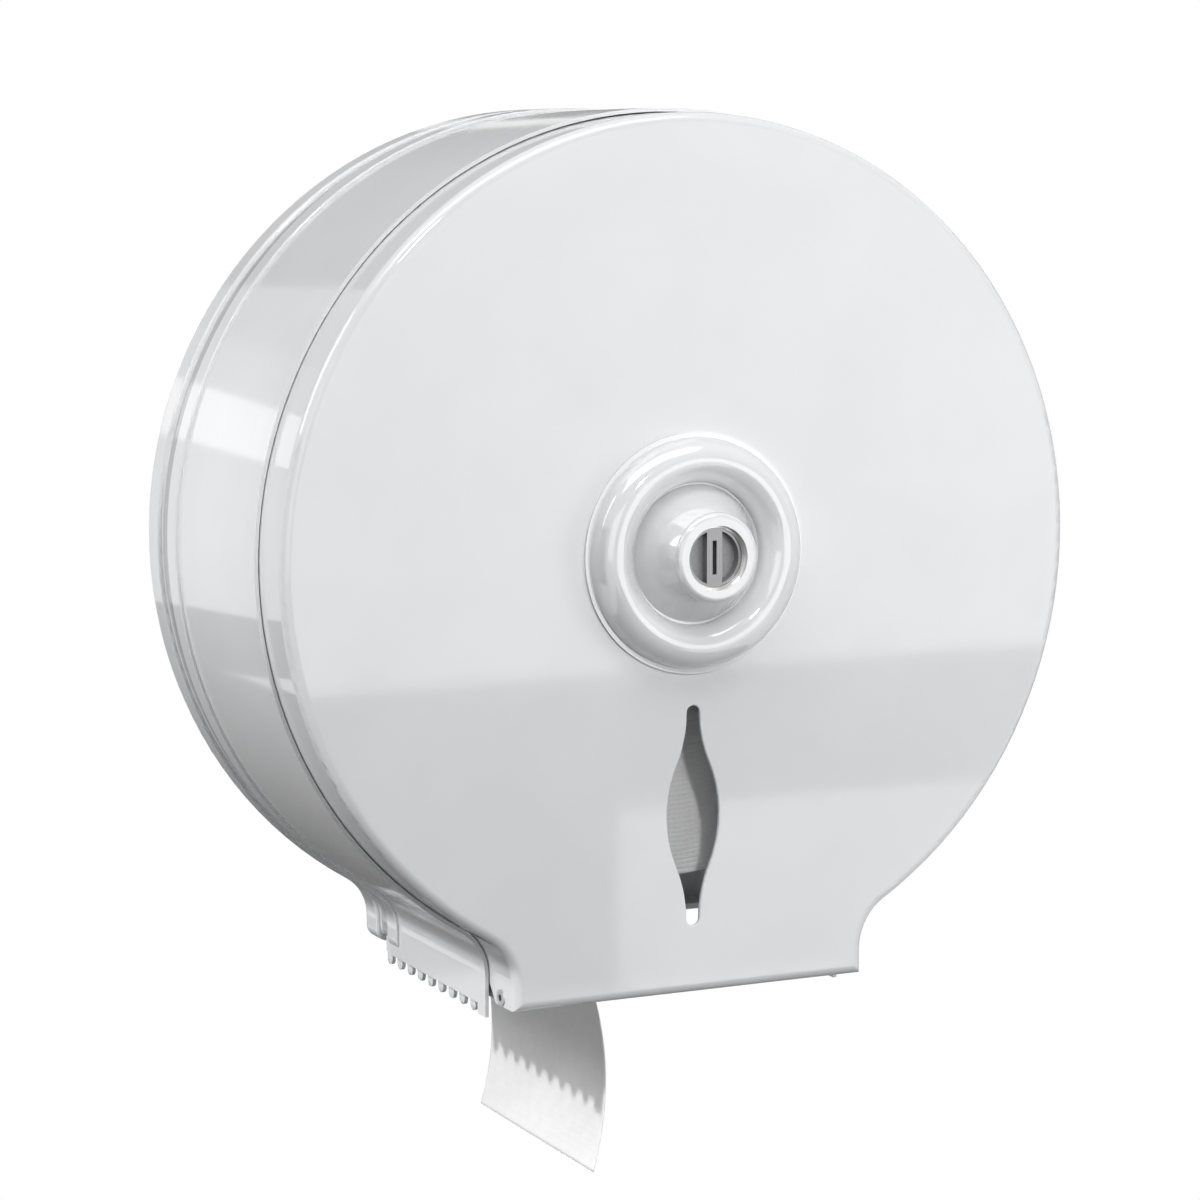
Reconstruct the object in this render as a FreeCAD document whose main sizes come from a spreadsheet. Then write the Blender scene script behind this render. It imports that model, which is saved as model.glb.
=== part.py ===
import FreeCAD, Part
import math
import os
import re

import Sketcher
from FreeCAD import Placement, Rotation, Vector

# Jumbo toilet paper dispenser: a wall-hung drum with a hinged, locked cover.
# Every piece is drawn as seen from the front: across to the right, up, and out from the wall,
# with zero on the drum's axis at the wall. One placement then stands the whole drawing upright.
# Sizes are millimetres, apart from counts, shares and turns, which are degrees.
SIZES = {
    # case outline: a circle that runs through two hollow bends into a straight-sided throat
    "case_radius": 135.0,
    "case_depth": 120.0,
    "throat_half": 61.0,
    "throat_bend": 18.0,
    # front cover
    "cover_side": 8.0,
    "cover_sheet": 1.0,
    "cover_show": 19.5,
    "cover_lap": 3.0,
    "cover_edge": 3.0,
    "cover_gap": 0.35,
    "lip_depth": 4.0,
    "ear_reach": 4.5,
    "ear_slope": 9.0,
    # sight slot, between the lock's rosette and the bottom of the cover
    "slot_gap": 10.2,
    "slot_foot": 21.7,
    "slot_belly_share": 0.493,
    "slot_half": 9.1,
    "slot_end": 2.2,
    "slot_edge": 0.5,
    # drum wall
    "drum_side": 10.0,
    "drum_sheet": 1.2,
    "foot_drop": 3.5,
    "foot_length": 6.0,
    # back pan
    "pan_side": 7.5,
    "pan_sheet": 1.0,
    "rim_deep": 12.4,
    "rim_round": 3.5,
    "rim_corner": 4.0,
    "fillet_share": 0.9,
    "groove_wide": 8.6,
    "band_wide": 8.5,
    "band_edge": 0.6,
    "seat_edge": 11.0,
    "seat_raise": 3.0,
    "mount_pitch_wide": 140.0,
    "mount_pitch_high": 110.0,
    "mount_hole": 3.25,
    # tear bars
    "tear_sheet": 1.2,
    "tear_high": 17.0,
    "tear_front_gap": 1.5,
    "tear_rear": 15.1,
    "tooth_count": 9,
    "tooth_half": 2.2,
    "tooth_long": 4.0,
    "tooth_end": 0.85,
    "tooth_front_end": 5.9,
    # hinge
    "hinge_setback": 10.5,
    "hinge_rise": 2.7,
    "hinge_pin": 1.7,
    "hinge_hollow": 1.1,
    "hinge_head_rim": 0.9,
    "hinge_head_high": 0.5,
    "hinge_washer_thick": 0.7,
    "hinge_washer_rim": 1.0,
    "running_gap": 0.05,
    "face_gap": 0.1,
    "lug_sheet": 1.5,
    "lug_rim": 0.9,
    "lug_length": 44.0,
    "lug_rise": 7.0,
    "lug_pad_length": 20.0,
    # cover stops
    "stop_sweep": 5.0,
    "stop_turn": 35.0,
    "stop_high": 3.5,
    "stop_deep": 6.0,
    "stop_gap": 0.3,
    # spindle
    "flange_edge": 10.0,
    "flange_sheet": 2.0,
    "post_radius": 6.0,
    "post_nose": 2.5,
    "rivet_ring": 22.0,
    "rivet_count": 3,
    "rivet_shank": 2.0,
    "rivet_head": 3.8,
    "rivet_head_high": 1.5,
    "washer_rim": 6.0,
    "washer_thick": 1.5,
    "clip_rim": 3.5,
    "clip_sink": 0.8,
    "clip_thick": 1.2,
    # roll hub
    "hub_gap": 0.3,
    "hub_radius": 22.0,
    "hub_wall": 2.5,
    "hub_boss": 2.4,
    "hub_short": 19.0,
    "hub_web": 4.0,
    "hub_nose": 2.0,
    "tube_wall": 3.45,
    "disc_edge": 10.0,
    "disc_thick": 2.5,
    # paper
    "cover_room": 17.0,
    "roll_radius": 98.0,
    "core_radius": 30.0,
    "core_wall": 1.5,
    "core_gap": 0.3,
    "tail_thick": 0.6,
    "tail_gap": 0.3,
    "tail_turn": 41.7,
    "tail_straight": 39.1,
    "tail_curl": 100.0,
    "tail_end_turn": 16.9,
    # keeper
    "keeper_overhang": 4.0,
    "keeper_sheet": 2.0,
    "screw_shank": 2.5,
    "screw_length": 10.0,
    "screw_head": 4.5,
    "screw_head_high": 2.5,
    "drive_half": 0.6,
    "drive_deep": 1.0,
    "head_gap": 0.9,
    # lock
    "rosette_lip": 1.0,
    "rosette_ring": 7.0,
    "rosette_flange": 1.5,
    "rosette_wall": 1.6,
    "ring_crease": 0.6,
    "nose_flare": 7.4,
    "nose_wall": 2.4,
    "nose_reach": 16.5,
    "nose_round": 1.8,
    "nose_lip": 2.2,
    "mouth_step": 0.8,
    "barrel_wall": 2.25,
    "barrel_floor": 3.0,
    "barrel_end": 1.7,
    "barrel_gap": 0.1,
    "lock_washer_rim": 7.5,
    "lock_washer_thick": 0.8,
    "nut_rim": 6.5,
    "nut_thick": 4.5,
    "plug_radius": 9.2,
    "plug_sink": 2.6,
    "plug_pocket": 3.0,
    "plug_bar_half": 2.6,
    "plug_rim": 0.9,
    "key_slot_half": 0.7,
    "key_slot_reach": 5.2,
    "stem_radius": 4.0,
    "cam_half_wide": 3.0,
    "cam_half_long": 10.0,
    "cam_thick": 2.5,
    "cam_gap": 0.5,
    "cam_side_gap": 2.0,
    "cam_room": 3.0,
    "cam_screw_shank": 2.0,
    "cam_screw_length": 9.0,
    "cam_screw_head": 3.6,
    "cam_screw_head_high": 1.6,
    # how far a cutting shape runs past what it cuts
    "overrun": 5.0,
}

# Sizes that follow from those, so that pieces which meet share one value
WORKED_OUT = {
    # offsets outwards from the case outline
    "cover_inside": "-cover_sheet",
    "drum_inside": "cover_gap",
    "drum_outside": "drum_inside + drum_sheet",
    "band_outside": "drum_outside + pan_sheet",
    "groove_inside": "drum_inside",
    "groove_outside": "groove_inside + pan_sheet",
    "groove_sink": "band_outside - groove_outside",
    # heights below the drum's axis
    "bend_drop": "sqrt((case_radius + throat_bend)^2 - (throat_half + throat_bend)^2)",
    "cover_bottom": "bend_drop + cover_side",
    "pan_bottom": "bend_drop + pan_side",
    "groove_bottom": "pan_bottom - groove_sink",
    "drum_bottom": "bend_drop + drum_side",
    "foot_bottom": "drum_bottom + foot_drop",
    "tear_top": "drum_bottom - tear_high",
    "tooth_tip": "drum_bottom + tooth_long",
    "hinge_drop": "cover_bottom - hinge_rise",
    "roll_sag": "core_radius - hub_radius - core_gap",
    # distances out from the wall
    "groove_front": "rim_deep + groove_wide",
    "band_front": "groove_front + band_wide",
    "drum_rear": "groove_front + pan_sheet",
    "drum_front": "case_depth - cover_show",
    "foot_rear": "drum_front - foot_length",
    "cover_rear": "drum_front - cover_lap",
    "stop_rear": "cover_rear - stop_gap - stop_deep",
    "tear_front": "cover_rear - tear_front_gap",
    "first_tooth": "tear_rear + tooth_end + tooth_half",
    "tooth_span": "tear_front - tooth_front_end - tooth_half - first_tooth",
    "hinge_out": "case_depth - hinge_setback",
    "ear_rear": "hinge_out - ear_reach",
    "lug_rear": "hinge_out - lug_length",
    "seat_front": "seat_raise + pan_sheet",
    "flange_front": "seat_front + flange_sheet",
    "hub_rear": "flange_front + washer_thick + hub_gap",
    "disc_rear": "hub_rear + hub_boss",
    "disc_front": "disc_rear + disc_thick",
    "roll_rear": "disc_front + hub_gap",
    "roll_front": "case_depth - cover_room",
    "roll_width": "roll_front - roll_rear",
    "hub_front": "roll_front - hub_short",
    "clip_rear": "hub_front + hub_gap",
    "post_front": "clip_rear + clip_thick + post_nose",
    "keeper_floor": "post_front + keeper_sheet",
    "cam_rear": "keeper_floor + screw_head_high + head_gap + cam_screw_head_high",
    "cam_front": "cam_rear + cam_thick",
    "keeper_lips": "cam_front + cam_gap",
    "keeper_deep": "keeper_lips + keeper_sheet - post_front",
    "nose_tip": "case_depth + nose_reach",
    "ring_level": "case_depth + rosette_lip",
    "barrel_front": "nose_tip - nose_lip",
    "plug_face": "nose_tip - plug_sink",
    "pocket_floor": "plug_face - plug_pocket",
    "lock_washer_rear": "case_depth - cover_sheet - lock_washer_thick",
    "nut_rear": "lock_washer_rear - nut_thick",
    "barrel_rear": "nut_rear - barrel_end",
    "barrel_inside": "barrel_rear + barrel_floor",
    "plug_rear": "barrel_inside + face_gap",
    # distances from the middle of the throat
    "throat_inside": "throat_half + drum_inside",
    "tear_inside": "throat_inside - tear_sheet",
    "ear_inside": "throat_half - cover_sheet",
    "hinge_washer_inside": "ear_inside - hinge_washer_thick",
    "lug_outside": "hinge_washer_inside - face_gap",
    "lug_inside": "lug_outside - lug_sheet",
    "rivet_tail_face": "lug_inside - face_gap",
    # radii
    "hinge_head": "hinge_pin + hinge_head_rim",
    "hinge_washer_radius": "hinge_pin + hinge_washer_rim",
    "lug_hole": "hinge_pin + running_gap",
    "lug_radius": "lug_hole + lug_rim",
    "flange_radius": "rivet_ring + flange_edge",
    "seat_inside": "flange_radius + seat_edge",
    "seat_radius": "seat_inside + pan_sheet",
    "washer_radius": "post_radius + washer_rim",
    "clip_radius": "post_radius + clip_rim",
    "clip_bore": "post_radius - clip_sink",
    "hub_bore": "post_radius + running_gap",
    "hub_tube": "hub_bore + tube_wall",
    "disc_radius": "core_radius + disc_edge",
    "core_outside": "core_radius + core_wall",
    "plug_bore": "plug_radius + running_gap",
    "barrel_radius": "plug_bore + barrel_wall",
    "barrel_hole": "barrel_radius + barrel_gap",
    "lock_washer_radius": "barrel_radius + lock_washer_rim",
    "nut_radius": "barrel_radius + nut_rim",
    "nose_mouth": "plug_radius + mouth_step",
    "nose_radius": "barrel_hole + nose_wall",
    "nose_base": "nose_radius + nose_flare",
    "ring_middle": "nose_base + ring_crease + rosette_ring",
    "ring_hollow": "rosette_ring - rosette_wall",
    "rosette_edge": "ring_middle + rosette_ring + rosette_flange",
    # rounds that stay within the sheet they are rolled from
    "cover_edge_fit": "min(cover_edge, fillet_share * lip_depth)",
    "cover_bend_fit": "cover_edge_fit - cover_sheet",
    "slot_edge_fit": "min(slot_edge, fillet_share * cover_sheet)",
    "rim_corner_fit": "min(rim_corner, fillet_share * (groove_bottom - bend_drop))",
    "rim_rear_fit": "min(rim_round, fillet_share * rim_corner_fit, fillet_share * rim_deep / 2)",
    "rim_front_fit": "min(rim_round, fillet_share * groove_sink, fillet_share * rim_deep / 2)",
    # keeper
    "keeper_wide": "2 * (cam_half_long + keeper_overhang)",
    "keeper_inside_high": "2 * (cam_half_long + cam_room)",
    "keeper_high": "keeper_inside_high + 2 * keeper_sheet",
    "keeper_slot_wide": "2 * (cam_half_wide + cam_side_gap)",
    # sight slot, measured down from the drum's axis: each half is four arcs, two to either side of its belly
    "slot_top": "rosette_edge + slot_gap",
    "slot_bottom": "cover_bottom - slot_foot",
    "slot_belly": "slot_top + slot_belly_share * (slot_bottom - slot_top)",
    "slot_upper": "slot_top + slot_end",
    "slot_lower": "slot_bottom - slot_end",
    "slot_swell": "slot_half - slot_end",
    "slot_middle": "(slot_half + slot_end) / 2",
    "upper_middle": "(slot_belly + slot_upper) / 2",
    "lower_middle": "(slot_belly + slot_lower) / 2",
    "upper_bow": "((slot_belly - slot_upper)^2 + slot_swell^2) / (4 * slot_swell)",
    "lower_bow": "((slot_lower - slot_belly)^2 + slot_swell^2) / (4 * slot_swell)",
    # paper tail: a straight run off the roll, then a curl about a centre to its left
    "roll_touch": "roll_radius + tail_gap",
    "curl_outside": "tail_curl + tail_thick / 2",
    "curl_inside": "tail_curl - tail_thick / 2",
    "curl_across": "tail_straight * sin(tail_turn) - (roll_touch + curl_outside) * cos(tail_turn)",
    "curl_down": "roll_sag + tail_straight * cos(tail_turn) + (roll_touch + curl_outside) * sin(tail_turn)",
}

doc = FreeCAD.newDocument("paper_dispenser")
sheet = doc.addObject("Spreadsheet::Sheet", "Sizes")
for row, (alias, size) in enumerate(SIZES.items(), start=1):
    sheet.set("A%d" % row, alias)
    sheet.set("B%d" % row, str(size))
    sheet.setAlias("B%d" % row, alias)
doc.recompute()

UPRIGHT = Placement(Vector(0, 0, 0), Rotation(Vector(1, 0, 0), 90))
SUBPARTS = []


def written(text):
    """An expression in which each size's name points at its cell."""
    def spelled(found):
        name = found.group()
        if name in WORKED_OUT:
            return "(%s)" % written(WORKED_OUT[name])
        return "Sizes." + name if name in SIZES else name
    return re.sub("[a-z_]+", spelled, text)


def value(text):
    return float(sheet.evalExpression(written(text)))


def bind(feature, **sizes):
    """Ties properties of a feature to the sheet, such as Length="case_depth"."""
    for name, text in sizes.items():
        feature.setExpression(name, written(text))
    return feature


def place(feature, across="0", up="0", out="0"):
    """Moves a feature by written sizes."""
    for axis, text in zip("xyz", (across, up, out)):
        feature.setExpression("Placement.Base." + axis, written(text))
    return feature


def around(across, up, radius, turn):
    """A written point at this radius and turn about a centre."""
    return "%s + %s * cos(%s)" % (across, radius, turn), "%s + %s * sin(%s)" % (up, radius, turn)


def subpart(feature, label):
    """Declares a finished piece: names it and stands it upright against the wall."""
    feature.Label = label
    feature.Placement = UPRIGHT
    SUBPARTS.append(feature)


def group(features, label):
    """Declares like pieces that share one node."""
    holder = doc.addObject("Part::Compound", label)
    holder.Links = features
    subpart(holder, label)


# Sketches and features

def new_body(label):
    return doc.addObject("PartDesign::Body", label)


def new_sketch(body, name, plane, level="0"):
    sketch = body.newObject("Sketcher::SketchObject", name)
    planes = {feature.Role: feature for feature in body.Origin.OriginFeatures}
    sketch.AttachmentSupport = [(planes[plane], "")]
    sketch.MapMode = "FlatFace"
    sketch.setExpression("AttachmentOffset.Base.z", written(level))
    return sketch


def dimension(sketch, name, text, kind, *where):
    """A dimension of a sketch that follows the sheet."""
    index = sketch.addConstraint(Sketcher.Constraint(kind, *where, value(text)))
    sketch.renameConstraint(index, name)
    sketch.setExpression("Constraints." + name, written(text))


def tie(sketch, kind, *where):
    sketch.addConstraint(Sketcher.Constraint(kind, *where))


ACROSS_AXIS, UP_AXIS = range(-1, -3, -1)
START, END, CENTRE = range(1, 4)
ORIGIN = (ACROSS_AXIS, START)


def arc(centre, radius, first, last):
    circle = Part.Circle(centre, Vector(0, 0, 1), radius)
    return Part.ArcOfCircle(circle, first, last)


def polygon(body, name, plane, level, corners):
    """Closed outline through corners that are given as written sizes.
    A corner is (across, up), or (across, up, centre across, centre up, turn) where an arc about
    that centre leads on to the next corner, with a turn of 1 to the left and -1 to the right."""
    sketch = new_sketch(body, name, plane, level)
    points = [Vector(value(corner[0]), value(corner[1]), 0) for corner in corners]
    count = len(points)
    ends = []
    for index, corner in enumerate(corners):
        here, there = points[index], points[(index + 1) % count]
        if len(corner) == 2:
            sketch.addGeometry(Part.LineSegment(here, there), False)
            ends.append((START, END))
            continue
        centre = Vector(value(corner[2]), value(corner[3]), 0)
        left = corner[4] > 0
        first, last = (here, there) if left else (there, here)
        angles = [math.atan2(point.y - centre.y, point.x - centre.x) for point in (first, last)]
        sketch.addGeometry(arc(centre, (here - centre).Length, *angles), False)
        ends.append((START, END) if left else (END, START))
        if abs(there.x - here.x) > abs(there.y - here.y):
            dimension(sketch, "centre%d" % index, corner[3], "DistanceY", *ORIGIN, index, CENTRE)
        else:
            dimension(sketch, "centre%d" % index, corner[2], "DistanceX", *ORIGIN, index, CENTRE)
    for index, corner in enumerate(corners):
        following = (index + 1) % count
        tie(sketch, "Coincident", index, ends[index][1], following, ends[following][0])
        dimension(sketch, "across%d" % index, corner[0], "DistanceX", *ORIGIN, index, ends[index][0])
        dimension(sketch, "up%d" % index, corner[1], "DistanceY", *ORIGIN, index, ends[index][0])
    return sketch


def keyhole(body, name, level, offset, bottom):
    """Closed outline of the case, moved outwards by offset and cut straight at its bottom."""
    sketch = new_sketch(body, name, "XY_Plane", level)
    radius_text = "case_radius + " + offset
    half_text = "throat_half + " + offset
    bend_text = "throat_bend - " + offset
    radius, half, bend = value(radius_text), value(half_text), value(bend_text)
    low = -value(bottom)
    bend_x = half + bend
    bend_y = -value("bend_drop")
    turn = math.atan2(-bend_y, bend_x)
    drum, left_bend, left_side, foot, right_side, right_bend = range(6)
    sketch.addGeometry(arc(Vector(0, 0, 0), radius, -turn, math.pi + turn), False)
    sketch.addGeometry(arc(Vector(-bend_x, bend_y, 0), bend, 0, turn), False)
    sketch.addGeometry(Part.LineSegment(Vector(-half, bend_y, 0), Vector(-half, low, 0)), False)
    sketch.addGeometry(Part.LineSegment(Vector(-half, low, 0), Vector(half, low, 0)), False)
    sketch.addGeometry(Part.LineSegment(Vector(half, low, 0), Vector(half, bend_y, 0)), False)
    sketch.addGeometry(arc(Vector(bend_x, bend_y, 0), bend, math.pi - turn, math.pi), False)
    tie(sketch, "Coincident", drum, CENTRE, *ORIGIN)
    tie(sketch, "Tangent", drum, END, left_bend, END)
    tie(sketch, "Tangent", left_bend, START, left_side, START)
    tie(sketch, "Coincident", left_side, END, foot, START)
    tie(sketch, "Coincident", foot, END, right_side, START)
    tie(sketch, "Tangent", right_side, END, right_bend, END)
    tie(sketch, "Tangent", right_bend, START, drum, START)
    tie(sketch, "Vertical", left_side)
    tie(sketch, "Vertical", right_side)
    tie(sketch, "Equal", left_bend, right_bend)
    tie(sketch, "Symmetric", left_side, END, right_side, START, UP_AXIS)
    dimension(sketch, "radius", radius_text, "Radius", drum)
    dimension(sketch, "bend", bend_text, "Radius", left_bend)
    dimension(sketch, "half", half_text, "DistanceX", *ORIGIN, right_side, START)
    dimension(sketch, "bottom", bottom, "DistanceY", foot, START, *ORIGIN)
    return sketch


def circles(body, name, level, rings, plane="XY_Plane"):
    """Circles given as written (across, up, radius)."""
    sketch = new_sketch(body, name, plane, level)
    for index, (across, up, radius) in enumerate(rings):
        centre = Vector(value(across), value(up), 0)
        sketch.addGeometry(Part.Circle(centre, Vector(0, 0, 1), value(radius)), False)
        dimension(sketch, "across%d" % index, across, "DistanceX", *ORIGIN, index, CENTRE)
        dimension(sketch, "up%d" % index, up, "DistanceY", *ORIGIN, index, CENTRE)
        dimension(sketch, "radius%d" % index, radius, "Radius", index)
    return sketch


def pad(body, sketch, length):
    feature = body.newObject("PartDesign::Pad", sketch.Name + "_pad")
    feature.Profile = sketch
    bind(feature, Length=length)
    doc.recompute()
    return feature


def pocket(body, sketch, length, forward=False, both_ways=False):
    """Cuts from the sketch towards the wall, or away from it when forward."""
    before = body.Shape.Volume
    feature = body.newObject("PartDesign::Pocket", sketch.Name + "_cut")
    feature.Profile = sketch
    feature.Midplane = both_ways
    feature.Reversed = forward
    bind(feature, Length=length)
    doc.recompute()
    if not body.Shape.Volume < before:
        raise RuntimeError(sketch.Name + " cuts nothing")
    return feature


def revolve(body, sketch, kind="PartDesign::Revolution"):
    """Turns a sketch of radius and distance from the wall about the drum's axis."""
    feature = body.newObject(kind, sketch.Name + "_turned")
    feature.Profile = sketch
    feature.ReferenceAxis = (sketch, ["V_Axis"])
    feature.Angle = 360
    doc.recompute()
    return feature


def round_edges(body, name, radius, edges):
    base = body.Tip
    feature = body.newObject("PartDesign::Fillet", name)
    names = ["Edge%d" % (index + 1) for index, edge in enumerate(base.Shape.Edges)
             if any(edge.isSame(chosen) for chosen in edges)]
    feature.Base = (base, names)
    bind(feature, Radius=radius)
    doc.recompute()
    return feature


NEAR_SHARE = 1e-6


def flat_faces(body, level):
    """The body's flat faces at this distance from the wall."""
    near = NEAR_SHARE * value("case_depth")
    return [face for face in body.Tip.Shape.Faces
            if face.BoundBox.ZLength < near and abs(face.BoundBox.ZMin - value(level)) < near]


def outer_edges(body, level):
    return [edge for face in flat_faces(body, level) for edge in face.OuterWire.Edges]


def hole_edges(body, level, top):
    """The edges of the holes in the flat faces at this distance from the wall that lie below a height."""
    holes = [wire for face in flat_faces(body, level) for wire in face.Wires
             if not wire.isSame(face.OuterWire) and wire.BoundBox.YMax < value(top)]
    return [edge for hole in holes for edge in hole.Edges]


def throat_corners(body):
    """The edges where the throat's sides meet its bottom."""
    low = -value("(bend_drop + groove_bottom) / 2")
    return [edge for edge in body.Tip.Shape.Edges
            if edge.BoundBox.YMax < low and edge.BoundBox.ZLength > edge.BoundBox.XLength]


# Plain round and square shapes

def cylinder(name, radius, length, across="0", up="0", out="0"):
    shape = doc.addObject("Part::Cylinder", name)
    bind(shape, Radius=radius, Height=length)
    return place(shape, across, up, out)


def box(name, wide, high, deep, across="0", up="0", out="0"):
    """A box that is centred across and up, with its rear face at out."""
    shape = doc.addObject("Part::Box", name)
    bind(shape, Length=wide, Width=high, Height=deep)
    return place(shape, "%s - (%s) / 2" % (across, wide), "%s - (%s) / 2" % (up, high), out)


def cut(name, base, tool):
    shape = doc.addObject("Part::Cut", name)
    shape.Base = base
    shape.Tool = tool
    return shape


def fuse(name, *shapes):
    shape = doc.addObject("Part::MultiFuse", name)
    shape.Shapes = list(shapes)
    return shape


def ring(name, radius, bore, length, across="0", up="0", out="0"):
    outside = cylinder(name + "_outside", radius, length, across, up, out)
    inside = cylinder(name + "_inside", bore, length + " + 2 * overrun", across, up, out + " - overrun")
    return cut(name + "_ring", outside, inside)


# Back pan: pressed sheet with a raised seat for the spindle, a band that grips the drum,
# a groove that the drum's rear edge stands against, and a rolled rim on the wall side.
# The rim runs on across the foot of the throat, where groove and band are left open for the paper

pan = new_body("back_pan")
pad(pan, keyhole(pan, "rim", "0", "band_outside", "pan_bottom"), "rim_deep")
pad(pan, keyhole(pan, "groove", "rim_deep", "groove_outside", "groove_bottom"), "groove_wide")
pad(pan, keyhole(pan, "band", "groove_front", "band_outside", "pan_bottom"), "band_wide")
round_edges(pan, "throat_corner_round", "rim_corner_fit", throat_corners(pan))
round_edges(pan, "rim_round_rear", "rim_rear_fit", outer_edges(pan, "0"))
round_edges(pan, "rim_round_front", "rim_front_fit", outer_edges(pan, "rim_deep"))
round_edges(pan, "band_round_rear", "band_edge", outer_edges(pan, "groove_front"))
round_edges(pan, "band_round_front", "band_edge", outer_edges(pan, "band_front"))
pocket(pan, keyhole(pan, "band_hollow", "band_front", "drum_outside", "pan_bottom + overrun"),
       "band_front - drum_rear")
pocket(pan, keyhole(pan, "groove_hollow", "drum_rear", "groove_inside", "pan_bottom + overrun"),
       "drum_rear - rim_deep")
pocket(pan, keyhole(pan, "rim_hollow", "rim_deep", "groove_inside", "groove_bottom - pan_sheet"),
       "rim_deep - pan_sheet")
pad(pan, circles(pan, "seat", "pan_sheet", [("0", "0", "seat_radius")]), "seat_raise")
pocket(pan, circles(pan, "seat_hollow", "0", [("0", "0", "seat_inside")]), "seat_raise", forward=True)
WALL_HOLES = [(across + " * mount_pitch_wide / 2", up + " * mount_pitch_high / 2", "mount_hole")
              for across in ("-1", "1") for up in ("-1", "1")]
pocket(pan, circles(pan, "wall_holes", "0", WALL_HOLES), "pan_sheet + overrun", forward=True)
RIVET_PLACES = [around("0", "0", "rivet_ring", "90 + %d * 360 / rivet_count" % index)
                for index in range(int(value("rivet_count")))]
pocket(pan, circles(pan, "rivet_holes", "0", [(across, up, "rivet_shank") for across, up in RIVET_PLACES]),
       "seat_front + overrun", forward=True)
subpart(pan, "back_pan")


# Drum wall: sheet bent round the case outline, its throat sides cut straight above the teeth
# apart from a short foot at the front of each

drum = new_body("drum_wall")
pad(drum, keyhole(drum, "drum", "drum_rear", "drum_outside", "foot_bottom"), "drum_front - drum_rear")
pocket(drum, keyhole(drum, "drum_hollow", "drum_front", "drum_inside", "foot_bottom + overrun"),
       "drum_front - drum_rear")
THROUGH_CASE = "2 * (case_radius + overrun)"
pocket(drum, polygon(drum, "drum_trim", "YZ_Plane", "0", [
    ("-drum_bottom", "drum_rear - overrun"),
    ("-foot_bottom - overrun", "drum_rear - overrun"),
    ("-foot_bottom - overrun", "foot_rear"),
    ("-drum_bottom", "foot_rear")]), THROUGH_CASE, both_ways=True)
subpart(drum, "drum_wall")


# Tear bars: flat strips on the inside of the throat walls, with blunt teeth that stand out below

def tear_bar(side, level):
    bar = new_body(side + "_tear_bar")
    pad(bar, polygon(bar, side + "_strip", "YZ_Plane", level, [
        ("-tear_top", "tear_rear"),
        ("-drum_bottom", "tear_rear"),
        ("-drum_bottom", "tear_front"),
        ("-tear_top", "tear_front")]), "tear_sheet")
    tooth = pad(bar, polygon(bar, side + "_tooth", "YZ_Plane", level, [
        ("-drum_bottom", "first_tooth + tooth_half"),
        ("tooth_half - tooth_tip", "first_tooth + tooth_half", "tooth_half - tooth_tip", "first_tooth", 1),
        ("tooth_half - tooth_tip", "first_tooth - tooth_half"),
        ("-drum_bottom", "first_tooth - tooth_half")]), "tear_sheet")
    teeth = bar.newObject("PartDesign::LinearPattern", side + "_teeth")
    teeth.Originals = [tooth]
    teeth.Direction = (tooth.Profile[0], ["V_Axis"])
    bind(teeth, Length="tooth_span", Occurrences="tooth_count")
    bar.Tip = teeth
    doc.recompute()
    subpart(bar, side + "_tear_bar")


tear_bar("left", "-throat_inside")
tear_bar("right", "tear_inside")


# Hinge brackets: lugs inside the cover's ears, each with a thicker pad welded to its tear bar

def hinge_bracket(side, lug_level, pad_level):
    low, high = "-hinge_drop - lug_radius", "-hinge_drop + lug_rise"
    bracket = new_body(side + "_hinge_bracket")
    pad(bracket, polygon(bracket, side + "_lug", "YZ_Plane", lug_level, [
        (low, "lug_rear"),
        (low, "hinge_out", "-hinge_drop", "hinge_out", -1),
        ("-hinge_drop", "hinge_out + lug_radius"),
        (high, "hinge_out"),
        (high, "lug_rear")]), "lug_sheet")
    pad(bracket, polygon(bracket, side + "_lug_foot", "YZ_Plane", pad_level, [
        (low, "lug_rear"),
        (low, "lug_rear + lug_pad_length"),
        (high, "lug_rear + lug_pad_length"),
        (high, "lug_rear")]), "tear_inside - lug_outside")
    pin_hole = ("-hinge_drop", "hinge_out", "lug_hole")
    pocket(bracket, circles(bracket, side + "_lug_hole", lug_level, [pin_hole], "YZ_Plane"),
           "lug_sheet", forward=True)
    subpart(bracket, side + "_hinge_bracket")


hinge_bracket("left", "-lug_outside", "-tear_inside")
hinge_bracket("right", "lug_inside", "lug_outside")


# Cover stops: two tabs in the drum, just behind the edge of the closed cover

def cover_stop(name, turn):
    tab = cylinder(name + "_tab", "case_radius + drum_inside", "stop_deep", out="stop_rear")
    bind(tab, Angle="stop_sweep")
    # a right angle gives the turn its axis, and the expression then sets how far it turns
    tab.Placement = Placement(Vector(0, 0, 0), Rotation(Vector(0, 0, 1), 90))
    tab.setExpression("Placement.Rotation.Angle", written("%s - stop_sweep / 2" % turn))
    hollow = cylinder(name + "_hollow", "case_radius + drum_inside - stop_high", "stop_deep + 2 * overrun",
                      out="stop_rear - overrun")
    return cut(name, tab, hollow)


group([cover_stop("left_stop", "90 + stop_turn"), cover_stop("right_stop", "90 - stop_turn")], "cover_stops")


# Spindle: a flange riveted to the pan's seat, and the post that the hub turns on

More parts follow.
